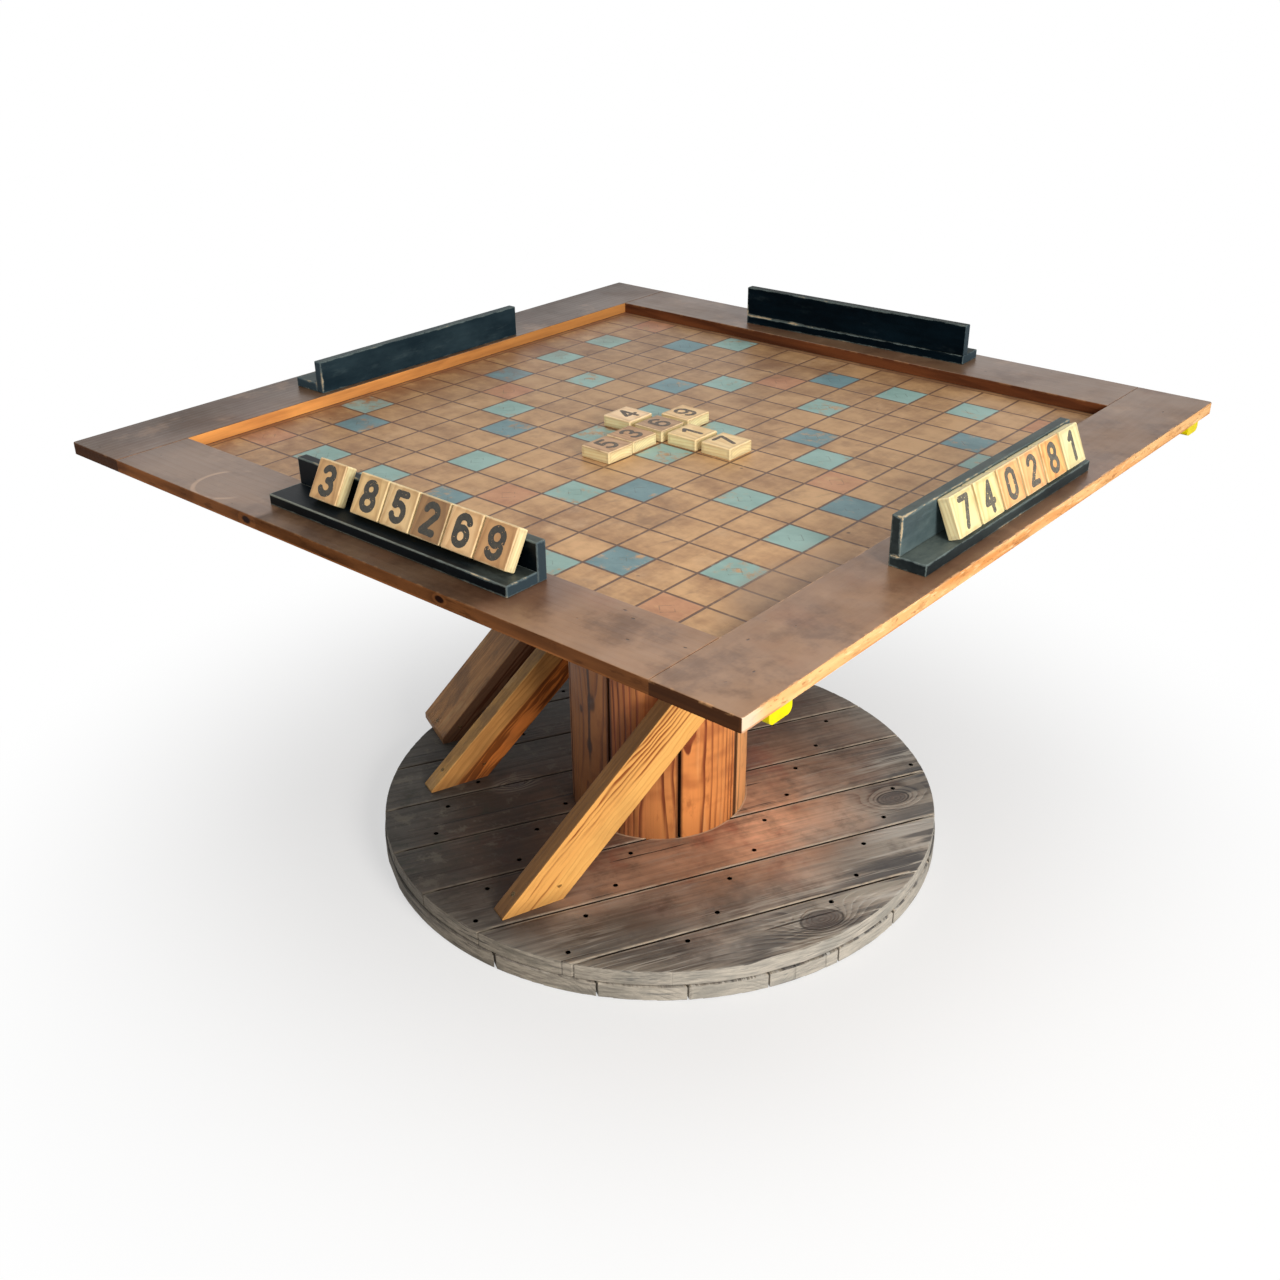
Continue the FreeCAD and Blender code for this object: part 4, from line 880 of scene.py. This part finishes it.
def digit_mesh(name, digit, scale, weight, wear, seed):
    """A painted digit as a thin plate, with its edge and specks worn away. Its middle is at the origin."""
    step, thick, sunk = 0.55, 0.12, -0.05
    reach = weight / 2 + 0.8
    wide, tall = STROKE_BOX[0] * scale[0], STROKE_BOX[1] * scale[1]
    xs, ys = (np.arange(-reach, size + reach + step, step) for size in (wide, tall))
    grid = np.array([(x, y) for y in ys for x in xs])
    paths = [[(x * scale[0], y * scale[1]) for x, y in path] for path in DIGITS[digit]]
    field = stroke_distance(grid, paths) - weight / 2
    for n, (x, y) in enumerate(grid):
        slow = noise.noise(Vector((x * 0.22, y * 0.22, seed)))
        fine = noise.noise(Vector((x * 0.85, y * 0.85, seed + 7)))
        hole = noise.noise(Vector((x * 0.55, y * 1.1, seed + 23))) + 0.6 * slow
        field[n] = max(field[n] + (0.25 * slow + 0.35 * fine), (hole - (0.72 - 0.42 * wear)) * 3)
    field[np.abs(field) < 1e-4] = 1e-4
    points, index, faces = [], {}, []

    def point(key, x, y):
        if key not in index:
            index[key] = len(points)
            points.append((x - wide / 2, y - tall / 2))
        return index[key]

    columns = len(xs)
    for first in (row * columns + column for row in range(len(ys) - 1) for column in range(columns - 1)):
        around = [first, first + 1, first + columns + 1, first + columns]
        inside = [field[k] < 0 for k in around]
        loop = []
        for k, nxt in zip(around, around[1:] + around[:1]):
            a, b = field[k], field[nxt]
            if a < 0:
                loop.append(point(k, *grid[k]))
            if (a < 0) != (b < 0):
                x, y = grid[k] + (grid[nxt] - grid[k]) * (a / (a - b))
                loop.append(point((min(k, nxt), max(k, nxt)), x, y))
        loops = [loop]
        if sum(inside) == 2 and inside[0] == inside[2]:
            # two opposite corners are two separate triangles
            loops = [loop[-1:] + loop[:2], loop[2:5]] if inside[0] else [loop[:3], loop[3:6]]
        faces += [tuple(one) for one in loops if len(one) > 2]
    count = len(points)
    vertices = [(x * MM, y * MM, level * MM) for level in (thick, sunk) for x, y in points]
    edges = dict.fromkeys(edge for face in faces for edge in zip(face, face[1:] + face[:1]))
    walls = [(b, a, a + count, b + count) for a, b in edges if (b, a) not in edges]
    under = [tuple(k + count for k in reversed(face)) for face in faces]
    mesh = bpy.data.meshes.new(name)
    mesh.from_pydata(vertices, [], faces + under + walls)
    mesh.validate()
    return mesh


def tile_wood(node, origin, across, up, out, face, seed):
    """A block of pale hardwood, browner on its handled face."""
    sh = Shader(f"{node}_wood")
    u, v, w = (sh.along(direction, origin) for direction in (across, up, out))
    rings, _ = growth(sh, v, u, w, 0.0042, (0.02 + 0.004 * (seed % 5), -0.05 + 0.006 * (seed % 3)), 0.06, 0.006,
                      seed)
    streaks = fibres(sh, v, u, w, 420, 18, seed)
    blotch = sh.noise(u * 45 + seed, v * 45, w * 45, 3, 0.6)
    tone = (rings * 0.35 + streaks * 0.5 + blotch * 0.7 - 0.42).ramp(0, 1)
    sh.colour = sh.tone(sh.mix(tone, *face), 1.12)
    pale = sh.mix(tone, (250, 236, 184), (230, 198, 138))
    sh.layer(w.ramp(TILE_THICK - 0.0012, TILE_THICK - 0.003), pale)
    _, edge = box_edges((u, v, w), (0, 0, 0), (TILE, TILE, TILE_THICK))
    edge = edge + (blotch - 0.5) * 0.003
    worn = edge.ramp(0.0022, 0.0006)
    sh.layer(worn * 0.55, (248, 226, 178))
    sh.layer(edge.ramp(0.0075, 0.003) * (1 - worn) * 0.22, (128, 88, 54))
    return sh.finish(streaks * 0.12 + 0.42, streaks * 0.6 - rings * 0.3, 0.0003)


def digit_ink(name, light, dark):
    sh = Shader(name)
    rub = sh.solid(190, 4, 0.7)
    sh.colour = sh.blend(rub * 1.1 + sh.solid(50) * 0.6 - 0.45, dark, light)
    return sh.finish(rub * 0.2 + 0.45, rub, 0.0001)


def build_tiles():
    seed = 0
    for group, places in tile_places().items():
        ink_colours, scale, weight, tiles = TILES[group]
        ink = digit_ink(f"{group}_ink", *ink_colours)
        for n, ((origin, across, up), (digit, light, dark, wear)) in enumerate(zip(places, tiles), 1):
            node = f"{group}_tile_{n}"
            origin, out = Vector(origin) * MM, across.cross(up)
            paint(tile_wood(node, origin, across, up, out, (light, dark), seed * 2.3), node)
            mesh = digit_mesh(f"{node}_digit", digit, scale, weight, wear, seed * 3.7)
            mesh.materials.append(ink)
            piece = add_object(mesh.name, mesh)
            middle = Matrix.Translation((TILE / 2, DIGIT_HEIGHT, TILE_THICK))
            turn = Matrix((across, up, out)).transposed().to_4x4()
            piece.matrix_world = Matrix.Translation(origin) @ turn @ middle
            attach(piece, f"{node}_body")
            seed += 1


# --- Putting it together ---


def add_object(name, data):
    made = bpy.data.objects.new(name, data)
    bpy.context.scene.collection.objects.link(made)
    return made


def paint(material, *nodes):
    """Gives the objects of some CAD nodes one material."""
    for node in nodes:
        slots = NODES[node].data.materials
        slots.clear()
        slots.append(material)


def paint_nodes():
    raw_edge = ((248, 198, 138), (214, 138, 72))
    brown_edge = ((134, 84, 48), (76, 44, 24))
    orange_wall = ((232, 160, 88), (170, 108, 62))
    # the front and rear borders' walls take a darker copy of the wall colour as painted shade
    wall_in_painted_shade = ((132, 76, 44), (84, 46, 28))
    knots = ((-0.188, -0.009, 0.006), (0.18, -0.008, 0.0055))
    for side, *looks in (("front", brown_edge, wall_in_painted_shade, 0.15, knots), ("rear", brown_edge, wall_in_painted_shade, 0.2),
                         ("right", raw_edge, orange_wall, 0.9), ("left", brown_edge, orange_wall, 0.2)):
        paint(stained_border(side, *looks), f"{side}_border")
    paint(board_squares(), "game_panel")
    paint(batten_wood(), "front_batten", "rear_batten")
    paint(cap_plastic(), "front_right_cap", "rear_right_cap", "front_left_cap", "rear_left_cap")

    across = GRAIN + pi / 2
    for flange, layer, angle, seam_shift, top in (
            ("lower", "top", GRAIN, -0.01, FLANGE_TOP), ("lower", "bottom", across, 0.02, 0),
            ("upper", "bottom", GRAIN, -0.01, UPPER_FLANGE), ("upper", "top", across, 0.02, UPPER_FLANGE_TOP)):
        wood = reel_planks(f"{flange}_{layer}_planks", angle, seam_shift, top)
        paint(wood, f"{flange}_flange_{layer}_planks")
    paint(drum_staves(), "drum_staves")
    for node, seed in zip(BRACES, (1, 4, 7)):
        paint(brace_wood(node, seed), node)

    for side in RACKS:
        for part in ("shelf", "back"):
            paint(rack_strip(side, part), f"{side}_rack_{part}")
    paint(nail_iron(), "flange_nails")
    for name, (light, dark, rough, *nodes) in METALS.items():
        paint(metal(name, light, dark, rough), *nodes)


# --- Floor, light and camera ---

WHITE = (1, 1, 1, 1)


def seen_directly(tree):
    """1 for rays from the camera, off gloss and through glass, and 0 for other rays."""
    rays = tree.nodes.new("ShaderNodeLightPath")
    seen = rays.outputs["Is Camera Ray"]
    for name in ("Is Glossy Ray", "Is Transmission Ray"):
        most = tree.nodes.new("ShaderNodeMath")
        most.operation = "MAXIMUM"
        tree.links.new(seen, most.inputs[0])
        tree.links.new(rays.outputs[name], most.inputs[1])
        seen = most.outputs[0]
    return seen


def blend_shaders(tree, share, first, second, output):
    mixer = tree.nodes.new("ShaderNodeMixShader")
    for socket, source in zip(mixer.inputs, (share, first.outputs[0], second.outputs[0])):
        tree.links.new(source, socket)
    tree.links.new(mixer.outputs[0], output.inputs["Surface"])


def make_world():
    """Soft light for the object, and white for the eye."""
    world = bpy.data.worlds.new("studio")
    bpy.context.scene.world = world
    world.use_nodes = True
    tree = world.node_tree
    tree.nodes.clear()
    soft, white = (tree.nodes.new("ShaderNodeBackground") for _ in range(2))
    for background, colour, strength in ((soft, (0.97, 0.99, 1, 1), 0.24), (white, WHITE, 1)):
        background.inputs[0].default_value = colour
        background.inputs[1].default_value = strength
    blend_shaders(tree, seen_directly(tree), soft, white, tree.nodes.new("ShaderNodeOutputWorld"))


def make_floor():
    """A pale floor that keeps the shadow near the object and runs out to white."""
    reach, level = 14, -0.0005
    corners = [(x * reach, y * reach, level) for x, y in ((-1, -1), (1, -1), (1, 1), (-1, 1))]
    mesh = bpy.data.meshes.new("floor")
    mesh.from_pydata(corners, [], [(0, 1, 2, 3)])
    floor = add_object("floor", mesh)
    sh = Shader("floor_white")
    tree = sh.material.node_tree
    eye = Num(sh, seen_directly(tree))
    sh.colour = sh.mix(eye, (0.42, 0.42, 0.42, 1), (0.88, 0.88, 0.88, 1))
    sh.finish(0.9)
    glow = sh.fed(sh.node("Emission"), WHITE, 1)
    share = hypot(sh.x, sh.y).ramp(0.45, 1.3, 0.55, 1) * eye
    blend_shaders(tree, share.socket, sh.bsdf, glow, sh.output)
    mesh.materials.append(sh.material)


def lamp(name, place, target_height, size, power, colour):
    light = bpy.data.lights.new(name, "AREA")
    light.shape = "DISK"
    light.size, light.energy, light.color = size, power, colour
    made = add_object(name, light)
    made.location = place
    made.rotation_mode = "QUATERNION"
    made.rotation_quaternion = (Vector((0, 0, target_height)) - Vector(place)).to_track_quat("-Z", "Y")
    made.visible_glossy = False


CAMERA_PLACE = (1.2783, -1.5413, 1.4138)
CAMERA_TURN = (40.555, 28.155, -0.527)
FOCAL_PIXELS = 1389.07
PICTURE_PIXELS = 1280
SENSOR = 36


def make_camera():
    azimuth, elevation, roll = (radians(a) for a in CAMERA_TURN)
    level = Vector((cos(azimuth), sin(azimuth), 0))
    ahead = Vector((-sin(azimuth), cos(azimuth), 0))
    back = Vector((0, 0, sin(elevation))) - ahead * cos(elevation)
    rise = back.cross(level)
    right = level * cos(roll) + rise * sin(roll)
    up = rise * cos(roll) - level * sin(roll)
    data = bpy.data.cameras.new("camera")
    data.sensor_width = SENSOR
    data.lens = FOCAL_PIXELS / PICTURE_PIXELS * SENSOR
    data.clip_start, data.clip_end = 0.05, 60
    camera = add_object("camera", data)
    camera.matrix_world = Matrix.Translation(CAMERA_PLACE) @ Matrix((right, up, back)).transposed().to_4x4()
    bpy.context.scene.camera = camera


make_camera()
make_world()
make_floor()
lamp("key", (3.2, -1, 1.8), 0.45, 1.5, 100, (1, 0.97, 0.92))
lamp("overhead", (0.2, -0.4, 3.6), 0.7, 2.6, 34, (1, 0.99, 0.97))
lamp("fill", (1.9, -2.9, 1.5), 0.5, 1.8, 22, (1, 0.98, 0.96))
paint_nodes()
build_tiles()

bpy.context.scene.view_settings.view_transform = "Standard"
